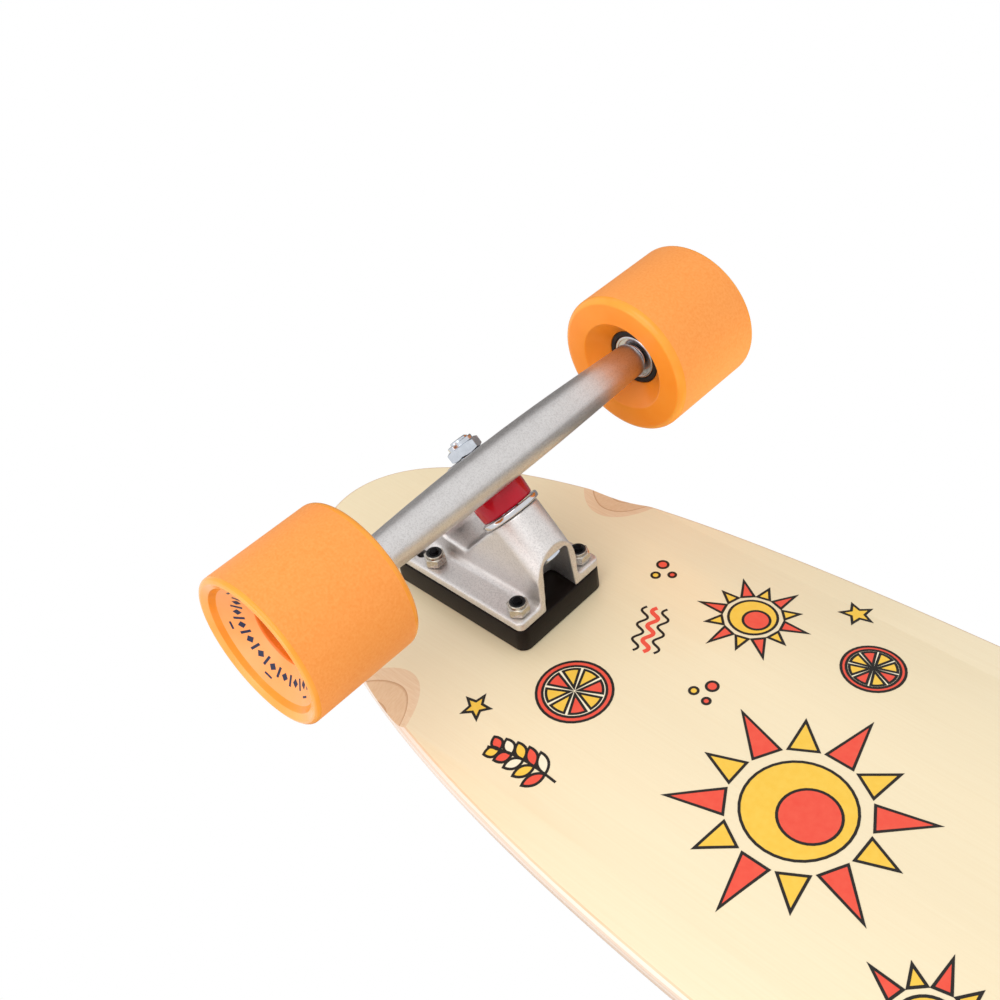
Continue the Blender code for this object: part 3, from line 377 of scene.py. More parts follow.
for slot, (name, deep, pale, roughness, size, relief) in ORANGES.items():
    made, tree, shader, place = new_material(name, Roughness=roughness, Specular_IOR_Level=0.35)
    grain = noise(tree, place, size, 3.0)
    patches = noise(tree, place, 16)
    mottled = two_tone(tree, spread(tree, grain, 0.3, 0.7, 0.0, 1.0), colour(deep), colour(pale))
    warm = two_tone(tree, maths(tree, "MULTIPLY", patches, 0.4), mottled, colour(pale))
    tree.links.new(warm, shader.inputs["Base Color"])
    bumped(tree, shader, grain, relief)
    MATERIALS[slot] = made

# Name, dark and light colour, roughness, millimetres from spot to spot.
PLASTICS = {
    "red_urethane": ("red urethane, moulded gloss", "#AE0A20", "#C8122C", 0.16, 8.0),
    "black_urethane": ("black urethane", "#161617", "#222224", 0.45, 2.0),
    "black_nylon": ("black glass-filled nylon", "#121213", "#1E1E20", 0.5, 1.2),
    "wheel_ink": ("navy pad-printed ink", "#1A2140", "#232A4A", 0.45, 2.0),
    "red_ink": ("coral screen-print ink", "#EC4B3A", "#F2604A", 0.4, 3.0),
    "yellow_ink": ("yellow screen-print ink", "#F3C13E", "#F8CF57", 0.4, 3.0),
    "black_ink": ("black screen-print ink", "#191512", "#241F1B", 0.4, 3.0),
    "cream_ink": ("cream screen-print ink", "#F6EBCB", "#F9F1D8", 0.4, 3.0),
}
for slot, (name, dark, light, roughness, size) in PLASTICS.items():
    made, tree, shader, place = new_material(name, Roughness=roughness, Specular_IOR_Level=0.3)
    flow = noise(tree, place, size)
    tree.links.new(two_tone(tree, flow, colour(dark), colour(light)), shader.inputs["Base Color"])
    bumped(tree, shader, flow, 0.02)
    MATERIALS[slot] = made

print(len(MATERIALS), "finishes so far")

# %% [markdown]
# ## Making shapes
#
# Most pieces of a truck are turned on a lathe or could be, so a profile with a fillet at each
# corner, turned about an axis, makes nearly all of them. Flat pieces are an outline with a
# rounded rim. Both come out as closed meshes in millimetres around their own axis. They are
# carved with exact Booleans where a hole is crisp.

# %% Outlines, fillets and lathe work
def mesh_from(name, build):
    """A mesh that build(bmesh) fills, with its faces turned outwards."""
    work = bmesh.new()
    build(work)
    bmesh.ops.recalc_face_normals(work, faces=work.faces)
    mesh = bpy.data.meshes.new(name)
    work.to_mesh(mesh)
    work.free()
    return mesh


def polar(radius, angle):
    return Vector((radius * math.cos(angle), radius * math.sin(angle)))


def filleted(corners, steps=4, closed=True):
    """Points of an outline whose corners (x, y, fillet radius) are rounded by arcs."""
    points = []
    for index, corner in enumerate(corners):
        here = Vector(corner[:2])
        radius = corner[2] if len(corner) > 2 else 0
        if not radius or (not closed and index in (0, len(corners) - 1)):
            points.append(here)
            continue
        before = (Vector(corners[index - 1][:2]) - here).normalized()
        after = (Vector(corners[(index + 1) % len(corners)][:2]) - here).normalized()
        half_angle = before.angle(after) / 2
        centre = here + (before + after).normalized() * radius / math.sin(half_angle)
        first = here + before * radius / math.tan(half_angle) - centre
        last = here + after * radius / math.tan(half_angle) - centre
        sweep = first.angle_signed(last)
        for step in range(steps + 1):
            angle = -sweep * step / steps
            c, s = math.cos(angle), math.sin(angle)
            points.append(centre + Vector((first.x * c - first.y * s, first.x * s + first.y * c)))
    return points


def lathe(name, corners, steps=96, fillet_steps=4):
    """A profile of (radius, height, fillet) turned about Z. One that starts off the axis becomes a ring."""
    ring = corners[0][0] > 0
    points = filleted(corners, fillet_steps, ring)

    def build(work):
        rows = []
        for point in points:
            if point.x < 0.001:
                rows.append([work.verts.new((0, 0, point.y))] * steps)
            else:
                angles = [2 * math.pi * step / steps for step in range(steps)]
                rows.append([work.verts.new((*polar(point.x, angle), point.y)) for angle in angles])
        for upper, lower in zip(rows, rows[1:] + (rows[:1] if ring else [])):
            for here, there in zip(range(steps), [*range(1, steps), 0]):
                quad = [upper[here], upper[there], lower[there], lower[here]]
                work.faces.new(list(dict.fromkeys(quad)))

    return mesh_from(name, build)


def cylinder(name, radius, start, end, steps=96):
    """A plain cylinder on the Z axis from one height to another, mostly to drill with."""
    return lathe(name, [(0, start), (radius, start), (radius, end), (0, end)], steps)


def inset_outline(outline, inset):
    """The outline moved inwards, square to its edges. It runs anticlockwise."""
    count = len(outline)
    moved = []
    for index, point in enumerate(outline):
        back = (outline[index - 1] - point).normalized()
        ahead = (outline[(index + 1) % count] - point).normalized()
        inward = Vector((-(ahead - back).y, (ahead - back).x)).normalized()
        lean = max(0.3, inward.dot(Vector((-ahead.y, ahead.x))))
        moved.append(point + inward * inset / lean)
    return moved


def rim(bottom, top, low_radius, high_radius, steps=4):
    """The insets and heights of a plate's side, with an arc at its lower and its upper edge."""
    arcs = [math.pi / 2 * step / steps for step in range(steps + 1)]
    low = [(low_radius * (1 - math.sin(a)), bottom + low_radius * (1 - math.cos(a))) for a in arcs]
    high = [
        (high_radius * (1 - math.sin(a)), top - high_radius * (1 - math.cos(a))) for a in reversed(arcs)
    ]
    return low + high


def plate(name, outline, levels):
    """A flat piece: the outline, drawn at each level's inset and height, with both ends closed."""

    def build(work):
        rows = []
        for inset, z in levels:
            rows.append([work.verts.new((p.x, p.y, z)) for p in inset_outline(outline, inset)])
        for lower, upper in zip(rows, rows[1:]):
            for here in range(len(outline)):
                there = (here + 1) % len(outline)
                work.faces.new((lower[here], lower[there], upper[there], upper[here]))
        work.faces.new(rows[0])
        work.faces.new(rows[-1])

    return mesh_from(name, build)


def rounded_rectangle(low_x, high_x, half_width, radius, steps=8):
    corners = [(high_x, -half_width), (high_x, half_width), (low_x, half_width), (low_x, -half_width)]
    return filleted([(x, y, radius) for x, y in corners], steps)


# %% [markdown]
# ### Carving, casting and handing over
#
# A casting has no sharp inner corners, because molten metal shrinks and cracks there. The
# trick used here to get such fillets everywhere at once is the sculptor's: the solid is
# turned into even voxel skin, swollen, skinned again and shrunk back by the same amount.
# Outer edges stay, and every inner corner fills with a fillet.

# %% Helpers that carve, cast and place
def evaluated(holder):
    """The mesh of an object with its modifiers applied; the object goes."""
    bpy.context.view_layer.update()
    mesh = bpy.data.meshes.new_from_object(holder.evaluated_get(bpy.context.evaluated_depsgraph_get()))
    bpy.data.objects.remove(holder)
    return mesh


def on_bench(mesh):
    """A working object for a mesh."""
    holder = bpy.data.objects.new(mesh.name, mesh)
    bpy.context.scene.collection.objects.link(holder)
    return holder


def moved(mesh, place):
    copy = mesh.copy()
    copy.transform(place)
    return copy


def gathered(name, meshes):
    """Several meshes as one."""
    work = bmesh.new()
    for mesh in meshes:
        work.from_mesh(mesh)
    made = bpy.data.meshes.new(name)
    work.to_mesh(made)
    work.free()
    return made


def carved(mesh, joined=(), removed=(), within=()):
    """The mesh with others joined to it, others cut out of it, and only what lies within others kept."""
    holder = on_bench(mesh)
    tools = []
    for operation, others in (("UNION", joined), ("DIFFERENCE", removed), ("INTERSECT", within)):
        for other in others:
            tool = on_bench(other)
            tools.append(tool)
            step = holder.modifiers.new(operation, "BOOLEAN")
            step.operation = operation
            step.object = tool
            step.solver = "EXACT"
    made = evaluated(holder)
    for tool in tools:
        bpy.data.objects.remove(tool)
    return made


def cast(mesh, voxel, fillet, smoothing=4):
    """The mesh as a casting: one even skin with fillets in its inner corners."""
    holder = on_bench(mesh)
    for push in (fillet, -fillet):
        skin = holder.modifiers.new("skin", "REMESH")
        skin.mode = "VOXEL"
        skin.voxel_size = voxel
        swell = holder.modifiers.new("swell", "DISPLACE")
        swell.strength = push
        swell.mid_level = 0
    even = holder.modifiers.new("even", "SMOOTH")
    even.factor = 0.5
    even.iterations = smoothing
    return evaluated(holder)


SHARP_FROM, NUT_SHARP_FROM, DECK_SHARP_FROM = 28, 20, 25


def put(mesh, name, place, body, slot, node, materials=None, sharp=SHARP_FROM):
    """Places a copy of a mesh in the world, gives it its finish and makes it stand for a CAD node."""
    mesh = moved(mesh, METRES @ place)
    mesh.name = name
    mesh.shade_smooth()
    mesh.set_sharp_from_angle(angle=math.radians(sharp))
    if materials is not None or not mesh.materials:
        # Clearing the list sets every face back to the first finish, so the faces' numbers are kept.
        numbers = [face.material_index for face in mesh.polygons]
        mesh.materials.clear()
        for material in materials or [MATERIALS[slot]]:
            mesh.materials.append(material)
        mesh.polygons.foreach_set("material_index", numbers)
    piece = on_bench(mesh)
    piece.name = name
    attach(piece, body)
    if node:
        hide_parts(node)
    return piece


def on_trucks(mesh, name, frame_of, node, slot, extra=None, materials=None, sharp=SHARP_FROM, body=None):
    """Puts a piece on each truck, in one of its three frames. It rides the board unless it steers."""
    for end, places in TRUCKS.items():
        place = places[frame_of] @ (extra or Matrix())
        ridden = f"{end}_{body}" if body else "board"
        piece = put(mesh, f"{end}_{name}", place, ridden, slot, f"{end}_{node}", materials, sharp)
    return piece


# %% [markdown]
# ## The deck
#
# The outline of a pintail is two long curves that meet where the board is widest. Each
# quarter is part of a superellipse: an ellipse with powers other than 2, which makes it
# fuller or leaner. The rim is rounded over with a router. The scoops over the wheels are
# sanded with a drum, so each is part of a large cylinder that leans.
#
# The plies are glued in a mould that bends the deck's sides up, so that a foot feels where
# the middle is. The bend is a rule, so Geometry Nodes do it: a flat middle for the trucks,
# then a parabola out to the widest place. The same tree bends the deck, the grip tape and the
# print, which keeps them one on the other.

# %% The bend of the deck, by Geometry Nodes
def new_tree(name, sizes):
    """A Geometry Nodes tree with named sizes, and its input node."""
    tree = bpy.data.node_groups.new(name, "GeometryNodeTree")
    tree.interface.new_socket("Geometry", in_out="INPUT", socket_type="NodeSocketGeometry")
    tree.interface.new_socket("Geometry", in_out="OUTPUT", socket_type="NodeSocketGeometry")
    for size, kind in sizes.items():
        tree.interface.new_socket(size, in_out="INPUT", socket_type=kind)
    return tree, add_node(tree, "NodeGroupInput")


def finish_tree(tree, geometry, material):
    """Ends a tree: real geometry instead of instances, then its material."""
    plain = add_node(tree, "GeometryNodeRealizeInstances", {0: geometry})
    sockets = {"Geometry": plain.outputs[0], "Material": material}
    finished = add_node(tree, "GeometryNodeSetMaterial", sockets)
    add_node(tree, "NodeGroupOutput", {0: finished.outputs[0]})


def grown(tree, values, start=None):
    """The plain mesh that a tree makes of a start mesh with these values."""
    holder = on_bench(start or bpy.data.meshes.new(tree.name))
    maker = holder.modifiers.new("grow", "NODES")
    maker.node_group = tree
    for socket in tree.interface.items_tree:
        if socket.in_out == "INPUT" and socket.name in values:
            maker[socket.identifier] = values[socket.name]
    return evaluated(holder)


FLOAT, WHOLE, MATERIAL = "NodeSocketFloat", "NodeSocketInt", "NodeSocketMaterial"
BEND_SIZES = ("Flat half width", "Half width", "Rise")
bend_tree, sizes = new_tree("bend", {**{name: FLOAT for name in BEND_SIZES}, "Finish": MATERIAL})
spot = add_node(bend_tree, "GeometryNodeInputPosition").outputs[0]
sideways = add_node(bend_tree, "ShaderNodeSeparateXYZ", {0: spot}).outputs["Y"]
from_middle = maths(bend_tree, "ABSOLUTE", sideways)
lift = rise_at(bend_tree, from_middle, *[sizes.outputs[name] for name in BEND_SIZES])
offset = add_node(bend_tree, "ShaderNodeCombineXYZ", {"Z": lift}).outputs[0]
sockets = {"Geometry": sizes.outputs["Geometry"], "Offset": offset}
bent_up = add_node(bend_tree, "GeometryNodeSetPosition", sockets).outputs[0]
finish_tree(bend_tree, bent_up, sizes.outputs["Finish"])

BEND_STRIPS = 24


def bent(mesh, finish):
    """A flat mesh, cut into strips along the board and bent up with the deck."""
    work = bmesh.new()
    work.from_mesh(mesh)
    for step in range(BEND_STRIPS):
        line = FLAT_HALF_WIDTH + (WIDTH / 2 - FLAT_HALF_WIDTH) * step / BEND_STRIPS
        for side in (1, -1):
            everything = [*work.verts, *work.edges, *work.faces]
            bmesh.ops.bisect_plane(work, geom=everything, plane_co=(0, side * line, 0), plane_no=(0, 1, 0))
    work.to_mesh(mesh)
    work.free()
    values = dict(zip(BEND_SIZES, (FLAT_HALF_WIDTH, WIDTH / 2, CONCAVE_RISE)))
    return grown(bend_tree, {**values, "Finish": finish}, mesh)


# %% Deck
WIDEST = -LENGTH / 2 + TAIL_LENGTH


def board_outline(inset=0.0, steps=96):
    half_width = WIDTH / 2 - inset

    def quarter(way, length, powers):
        angles = [math.pi / 2 * step / steps for step in range(steps + 1)]
        xs = [WIDEST + way * length * abs(math.cos(a)) ** (2 / powers[0]) for a in angles]
        ys = [half_width * abs(math.sin(a)) ** (2 / powers[1]) for a in angles]
        return list(zip(xs, ys))

    nose = quarter(1, LENGTH / 2 - WIDEST - inset, NOSE_POWERS)
    tail = quarter(-1, TAIL_LENGTH - inset, TAIL_POWERS)
    left = nose + tail[-2::-1]
    right = [(x, -y) for x, y in left[-2:0:-1]]
    return [Vector(point) for point in left + right]


def bolt_corners(play=0.0, beyond=0.0):
    """Half a countersunk bolt, or with play the hole for one."""
    return [
        (0, beyond),
        (BOLT_HEAD_RADIUS + play, beyond),
        (BOLT_HEAD_RADIUS + play, -play),
        (BOLT_RADIUS + play, -BOLT_HEAD_HEIGHT - play),
        (BOLT_RADIUS + play, -BOLT_LENGTH - beyond),
        (0, -BOLT_LENGTH - beyond),
    ]


well = cylinder("well", WELL_RADIUS, -10, 56, 360)
hole = lathe("hole", bolt_corners(GAP, 10), 32)
cutters = []
for end, places in TRUCKS.items():
    for side in (1, -1):
        start = places["truck"] @ move(WELL_AHEAD, side * WELL_STARTS[end], 0)
        turned = Matrix.Rotation(side * WELL_TURN, 4, "Z")
        outwards = turned @ Matrix.Rotation(side * (WELL_SLOPE - math.pi / 2), 4, "X")
        cutters.append(moved(well, start @ outwards @ move(0, side * WELL_RADIUS, 0)))
    cutters += [moved(hole, places["truck"] @ move(x, y, BOLT_TOP)) for x, y in BOLT_PLACES]
blank = plate("deck", board_outline(), rim(UNDERSIDE, UNDERSIDE + THICKNESS, DECK_EDGE, DECK_EDGE, 6))
blank = bent(blank, MATERIALS["maple"])
deck = put(
    carved(blank, removed=[gathered("deck cutters", cutters)]),
    "deck_board", Matrix(), "board", "maple", "deck", sharp=DECK_SHARP_FROM,
)
print("the deck has", len(deck.data.polygons), "faces")

# %% Grip tape
top = UNDERSIDE + THICKNESS + GAP
sheet = plate("grip", board_outline(GRIP_INSET), [(0, top), (0, top + GRIP_THICKNESS)])
sheet = bent(sheet, MATERIALS["grip"])
bolt_hole = cylinder("grip hole", BOLT_HEAD_RADIUS + GAP, -5, 5, 32)
holes = []
for places in TRUCKS.values():
    holes += [moved(bolt_hole, places["truck"] @ move(x, y, BOLT_TOP)) for x, y in BOLT_PLACES]
grip = put(
    carved(sheet, removed=[gathered("grip holes", holes)]),
    "grip_sheet", Matrix(), "board", "grip", "grip_tape",
)
print("the grip tape has", len(grip.data.polygons), "faces")

# %% [markdown]
# ## The print
#
# The underside carries a summer print: suns, fruit slices, sprigs, waves, stars and dots. A
# screen printer lays one thin film over another: the ground colours first, what lies on them next
# and the black lines last. So every motif here is a list of shapes with an ink and a level, each
# level reaches a little lower than the one before, and the whole print is bent with the deck.

# %% Motifs
INKS = ["red_ink", "yellow_ink", "cream_ink", "black_ink"]
RED, YELLOW, CREAM, BLACK = range(4)


def circle(radius, centre=(0, 0), steps=36):
    return [Vector(centre) + polar(radius, 2 * math.pi * step / steps) for step in range(steps)]


def wedge(near, far, middle, half):
    """A slice from a point near the middle out to an arc, half so many radians to each side."""
    arc = [middle - half + 2 * half * step / 8 for step in range(9)]
    return [polar(near, middle)] + [polar(far, angle) for angle in arc]


def leaf(length, width, at, angle):
    """A pointed oval that starts at a place."""
    shares = [step / 8 for step in range(9)]
    under = [Vector((length * s, -width / 2 * math.sin(math.pi * s) ** 0.8)) for s in shares]
    over = [Vector((p.x, -p.y)) for p in reversed(under[1:-1])]
    spin = Matrix.Rotation(angle, 2)
    return [Vector(at) + spin @ p for p in under + over]


def sun(rays=12, core=11.0, tip=25.0):
    shapes = []
    for index in range(rays):
        angle = 2 * math.pi * index / rays
        half = 0.8 * math.pi / rays
        reach = tip if index % 2 else 0.84 * tip
        corners = [polar(1.28 * core, angle - half), polar(reach, angle), polar(1.28 * core, angle + half)]
        shapes.append((RED if index % 2 else YELLOW, 0, corners))
    shapes.append((YELLOW, 0, circle(core)))
    shapes.append((RED, 1, [p + Vector((0.22 * core, 0)) for p in circle(0.55 * core)]))
    return shapes


def slice_of_fruit(radius=17.0):
    shapes = [(RED, 0, circle(radius)), (CREAM, 1, circle(0.84 * radius))]
    for index in range(8):
        middle = 2 * math.pi * (index + 0.5) / 8
        shapes.append((YELLOW if index % 3 else RED, 2, wedge(0.12 * radius, 0.74 * radius, middle, 0.3)))
    return shapes


def sprig(length=40.0):
    stem = [Vector((length * s, 5 * math.sin(2.2 * s))) for s in [step / 12 for step in range(13)]]
    shapes = [(BLACK, 1.3, stem)]
    for index in range(1, 6):
        at = stem[2 * index]
        for side in (1, -1):
            ink = (RED, YELLOW, CREAM)[(index + side) % 3]
            shapes.append((ink, 0, leaf(13 - index, 5.5, at, side * (0.95 - 0.05 * index))))
    return shapes


def waves(length=34.0):
    shapes = []
    shares = [step / 40 for step in range(41)]
    for index, (ink, width) in enumerate(((BLACK, 1.5), (RED, 2.6), (BLACK, 1.5))):
        ups = [6 * index - 6 + 2.4 * math.sin(6 * math.pi * s) for s in shares]
        shapes.append((ink, width, [Vector((length * (s - 0.5), up)) for s, up in zip(shares, ups)]))
    return shapes


def star(radius=8.0):
    corners = [polar(radius if index % 2 else 0.45 * radius, math.pi * index / 5) for index in range(10)]
    return [(YELLOW, 0, corners)]


def dots():
    return [(RED, 0, circle(2.6)), (RED, 0, circle(1.7, (8, 3))), (YELLOW, 0, circle(1.9, (2, 8)))]


# %% Printing
OUTLINE = 1.2


def band(points, width, closed):
    """The quads between both sides of a line of ink."""
    if closed:
        outer, inner = inset_outline(points, -width / 2), inset_outline(points, width / 2)
        pairs = list(zip(outer, inner))
        pairs.append(pairs[0])
    else:
        pairs = []
        for index, point in enumerate(points):
            along = (points[min(index + 1, len(points) - 1)] - points[max(index - 1, 0)]).normalized()
            out = Vector((-along.y, along.x)) * width / 2
            pairs.append((point + out, point - out))
    return [[a, b, d, c] for (a, b), (c, d) in zip(pairs, pairs[1:])]


def film(faces, low, high):
    """A closed film of ink from flat faces."""

    def build(work):
        for face in faces:
            work.faces.new([work.verts.new((p.x, p.y, low)) for p in face])
        bmesh.ops.remove_doubles(work, verts=work.verts, dist=0.002)
        grown_up = bmesh.ops.extrude_face_region(work, geom=work.faces[:], use_keep_orig=True)
        raised = [item for item in grown_up["geom"] if isinstance(item, bmesh.types.BMVert)]
        bmesh.ops.translate(work, verts=raised, vec=(0, 0, high - low))

    return mesh_from("film", build)


# What is printed where: motif, place along the board, place across it, turn in degrees and scale.
LAYOUT = [
    (sun, -286, -52, 15, 1.0), (slice_of_fruit, -322, 30, 20, 1.0), (sprig, -298, 70, 168, 0.9),
    (waves, -318, -18, 65, 0.8), (star, -352, 62, 10, 0.8), (dots, -340, -55, 0, 1.0),
    (star, -252, -84, 40, 0.9), (sun, -212, 22, 0, 2.1), (dots, -276, -8, 50, 1.0),
    (slice_of_fruit, -228, -58, 70, 0.8),
]
SCATTER = [sprig, sun, waves, slice_of_fruit, star, sprig, dots, sun, slice_of_fruit, waves, star]
for index in range(22):
    spot_x, spot_y = -150 + 21 * index, (-62, 62, 4)[index % 3] + 9 * math.sin(2.3 * index)
    scale = 0.9 + 0.25 * math.sin(1.7 * index)
    LAYOUT.append((SCATTER[index % len(SCATTER)], spot_x, spot_y, 47 * index, scale))
LAYOUT += [(star, 440, 30, 15, 1.0), (dots, 436, -28, 80, 1.0), (waves, 462, 2, 95, 0.7)]

# Nothing is printed under the front riser.
CLEAR_LONG, CLEAR_WIDE = 70, 48
# Depths under the wood: where each film starts, where the first level ends and how much lower each next one.
INK_START, INK_FIRST, INK_STEP = 0.01, 0.05, 0.02
films = {}
for motif, x, y, degrees, scale in LAYOUT:
    if abs(x - FRONT_TRUCK) < CLEAR_LONG and abs(y) < CLEAR_WIDE:
        continue
    spin = Matrix.Rotation(math.radians(degrees), 2) * scale
    for ink, level, points in motif():
        points = [Vector((x, y)) + spin @ p for p in points]
        if isinstance(level, float):
            films.setdefault((ink, 3), []).extend(band(points, level * scale, False))
        else:
            films.setdefault((ink, level), []).append(points)
            films.setdefault((BLACK, 4), []).extend(band(points, OUTLINE, True))
layers = []
for (ink, level), faces in sorted(films.items()):
    flat = film(faces, UNDERSIDE - INK_FIRST - INK_STEP * level, UNDERSIDE - INK_START)
    layer = bent(flat, MATERIALS[INKS[ink]])
    for face in layer.polygons:
        face.material_index = ink
    layers.append(layer)
ink_mesh = gathered("print", layers)
put(ink_mesh, "deck_print", Matrix(), "board", "maple", None, [MATERIALS[ink] for ink in INKS])
print("the print has", len(LAYOUT), "motifs and", len(ink_mesh.polygons), "faces")

# %% [markdown]
# ## Riser and baseplate
#
# The riser is a plain moulded block that lifts the truck so that the wheels clear the deck.
# The baseplate below it is a casting: a flange with six holes, a leaning tower whose hollow
# takes the head of the kingpin, and a housing with a pocket for the pivot.

# %% Risers
LIP = 0.4
ends = (-FLANGE_OUTER_END - LIP, FLANGE_INNER_END + LIP)
outline = rounded_rectangle(*ends, FLANGE_HALF_WIDTH + LIP, 5.0)
block = plate("riser", outline, rim(BASE_TOP + GAP, -GAP, 0.9, 0.5, 3))
through = cylinder("through", BOLT_RADIUS + GAP, -40, 10, 32)
drills = [moved(through, move(x, y, 0)) for x, y in BOLT_PLACES + SPARE_PLACES]
truck_holes = gathered("truck holes", drills)
block = carved(block, removed=[truck_holes.copy()])
on_trucks(block, "riser_block", "truck", "riser_pad", "riser_rubber")


# %% Baseplates
def on_kingpin(along_pivot, along_kingpin):
    """X and Z in the truck's frame of a point in the middle plane of the kingpin's frame."""
    x = RING_AHEAD - along_pivot * math.cos(LEAN) - along_kingpin * math.sin(LEAN)
    z = -RING_BELOW + along_pivot * math.sin(LEAN) - along_kingpin * math.cos(LEAN)
    return x, z


def upright(name, corners, levels):
    """A plate that stands in the middle plane; its outline is in X and Z."""
    points = filleted(corners)
    area = sum(a.x * b.y - b.x * a.y for a, b in zip(points, points[1:] + points[:1]))
    if area < 0:
        points.reverse()
    mesh = plate(name, points, levels)
    mesh.transform(turn(90, "X"))
    return mesh


from_truck_to_kingpin = move(RING_AHEAD, 0, -RING_BELOW) @ Matrix.Rotation(math.pi + LEAN, 4, "Y")
pivot_way = turn(90, "Y")

outline = rounded_rectangle(-FLANGE_OUTER_END, FLANGE_INNER_END, FLANGE_HALF_WIDTH, 3.0)
flange = plate("flange", outline, rim(FLANGE_UNDERSIDE, BASE_TOP, 0.9, 0.3, 3))

root = (FLANGE_UNDERSIDE + BASE_TOP) / 2
inside = TOWER_SEAT - GAP
past_end = FLANGE_INNER_END + 10
run = (past_end - on_kingpin(0, inside)[0]) / math.sin(LEAN)
spine_corners = [
    (-FLANGE_OUTER_END + 0.9, root),
    (-FLANGE_OUTER_END, FLANGE_UNDERSIDE - 17.8, 2.0),
    (*on_kingpin(PIVOT_MOUTH, 10.9), 0.8),
    (*on_kingpin(PIVOT_MOUTH, -12.4), 1.5),
    (-13.0, FLANGE_UNDERSIDE - 8.5, 4.0),
    (*on_kingpin(9.0, inside), 3.0),
    on_kingpin(0, inside),
    on_kingpin(0, inside - run),
    (past_end, root),
]
spine = upright("spine", spine_corners, rim(-SPINE_HALF_WIDTH, SPINE_HALF_WIDTH, 1.4, 1.4, 3))
far_end = -70.0
tower = lathe("tower", [
    (0, far_end), (TOWER_RADIUS, far_end), (TOWER_RADIUS, TOWER_SEAT, 0.5), (0, TOWER_SEAT),
])
tower.transform(from_truck_to_kingpin @ move(-0.5, 0, 0))

under_head = HEAD_SEAT - GAP
hollow_corners = [
    (on_kingpin(9.3, under_head)[0], 10),
    on_kingpin(9.3, under_head),
    on_kingpin(-19.3, under_head),
    on_kingpin(-19.3, far_end),
    (on_kingpin(0, far_end)[0], 10),
]
hollow = upright("hollow", hollow_corners, [(0, -TOWER_RADIUS), (0, TOWER_RADIUS)])


def channel_half(along):
    return 9.0 + 0.113 * along


CHANNEL_FAR, CHANNEL_NEAR, CHANNEL_CHAMFER = 88, -7.7, 1.6
near_half = channel_half(CHANNEL_NEAR)
channel_corners = [
    (CHANNEL_FAR, channel_half(CHANNEL_FAR)), (CHANNEL_NEAR, near_half, 2.0),
    (CHANNEL_NEAR - CHANNEL_CHAMFER, near_half - CHANNEL_CHAMFER),
]
channel_outline = filleted([*channel_corners, *[(x, -y, *q) for x, y, *q in reversed(channel_corners)]])
channel = plate("channel", channel_outline, [(0, far_end - 20), (0, HEAD_SEAT + 20)])
channel.transform(from_truck_to_kingpin)
hollow = carved(hollow, within=[channel])

REACH = 100


def cutting_block(name, low_x, high_x, low_z):
    """A block that cuts away everything between two X from a height up."""
    corners = ((low_x, -REACH), (high_x, -REACH), (high_x, REACH), (low_x, REACH))
    return plate(name, [Vector(corner) for corner in corners], [(0, low_z), (0, REACH)])


end_block = cutting_block("end", FLANGE_INNER_END, REACH, -REACH)
top_block = cutting_block("top", -REACH, past_end, BASE_TOP)
pocket = cylinder("pocket", CUP_RADIUS + GAP, PIVOT_MOUTH - 10, CUP_BOTTOM + GAP, 64)
pocket.transform(from_truck_to_kingpin @ pivot_way)
bore = cylinder("bore", KINGPIN_RADIUS + GAP, HEAD_SEAT - 10, TOWER_SEAT + 10, 48)
bore.transform(from_truck_to_kingpin)

solid = carved(flange, [spine, tower], [end_block, top_block, hollow, bore, pocket])
casting = cast(solid, voxel=0.6, fillet=2.0)
casting = carved(casting, removed=[truck_holes.copy()])
piece = on_trucks(
    casting, "baseplate_casting", "truck", "baseplate", "cast_aluminium",
    materials=[MATERIALS["coarse_aluminium"]],
)
print("a baseplate has", len(piece.data.polygons), "faces")

# %% [markdown]
# ## The hanger
#
# The hanger is the part that steers. A thick bar holds the axle, a ring goes round the kingpin between the
# two bushings, and an arm ends in the pivot. The bar is thickest in the middle, where it is loaded most.

# %% Hangers
# The bar's radius at its ends, how much it is thicker in the middle, how far it bows, and its
# straight ends.
BAR_RADIUS, BAR_SWELL, BAR_BOW, BAR_STRAIGHT = 8.3, 2.1, 0.6, 6
BAR_STATIONS = 24
bar_corners = [(0, HALF_HANGER), (BAR_RADIUS, HALF_HANGER, 0.8)]
for step in range(BAR_STATIONS + 1):
    share = math.cos(math.pi * step / BAR_STATIONS)
    radius = BAR_RADIUS + BAR_SWELL * math.cos(share * math.pi / 2)
    bar_corners.append((radius, share * (HALF_HANGER - BAR_STRAIGHT)))
bar_corners += [(BAR_RADIUS, -HALF_HANGER, 0.8), (0, -HALF_HANGER)]
bar = lathe("bar", bar_corners)
for vertex in bar.vertices:
    vertex.co.y += BAR_BOW * (1 - (vertex.co.z / HALF_HANGER) ** 2)
bar_place = move(-AXLE_FROM_RING, 0, AXLE_RAKE) @ turn(90, "X")
bar.transform(bar_place)
RING_RADIUS, RING_HALF, RING_POCKET_RADIUS, RING_HOLE_RADIUS = 15.5, 3, 14.1, 6.6
ring_side = [(RING_RADIUS, RING_HALF, 0.8), (RING_RADIUS, -RING_HALF, 0.8)]
ring = lathe("ring", [(0, RING_HALF), *ring_side, (0, -RING_HALF)])
WEB_AT_RING, WEB_AT_BAR, WEB_HALF = 13.5, 30, 2.6
web_side = [(0, WEB_AT_RING), (-AXLE_FROM_RING, WEB_AT_BAR)]
web_corners = web_side + [(x, -y) for x, y in reversed(web_side)]
web = plate("web", [Vector(corner) for corner in web_corners], [(0, -WEB_HALF), (0, WEB_HALF)])
arm = lathe("arm", [(0, 40.9), (7.8, 40.9, 0.8), (9.5, 7.75), (0, 7.75)])
arm.transform(pivot_way)
pivot = lathe("pivot", [(0, 49.5), (5.5, 49.5, 1.8), (5.5, 36.9), (0, 36.9)], 64)
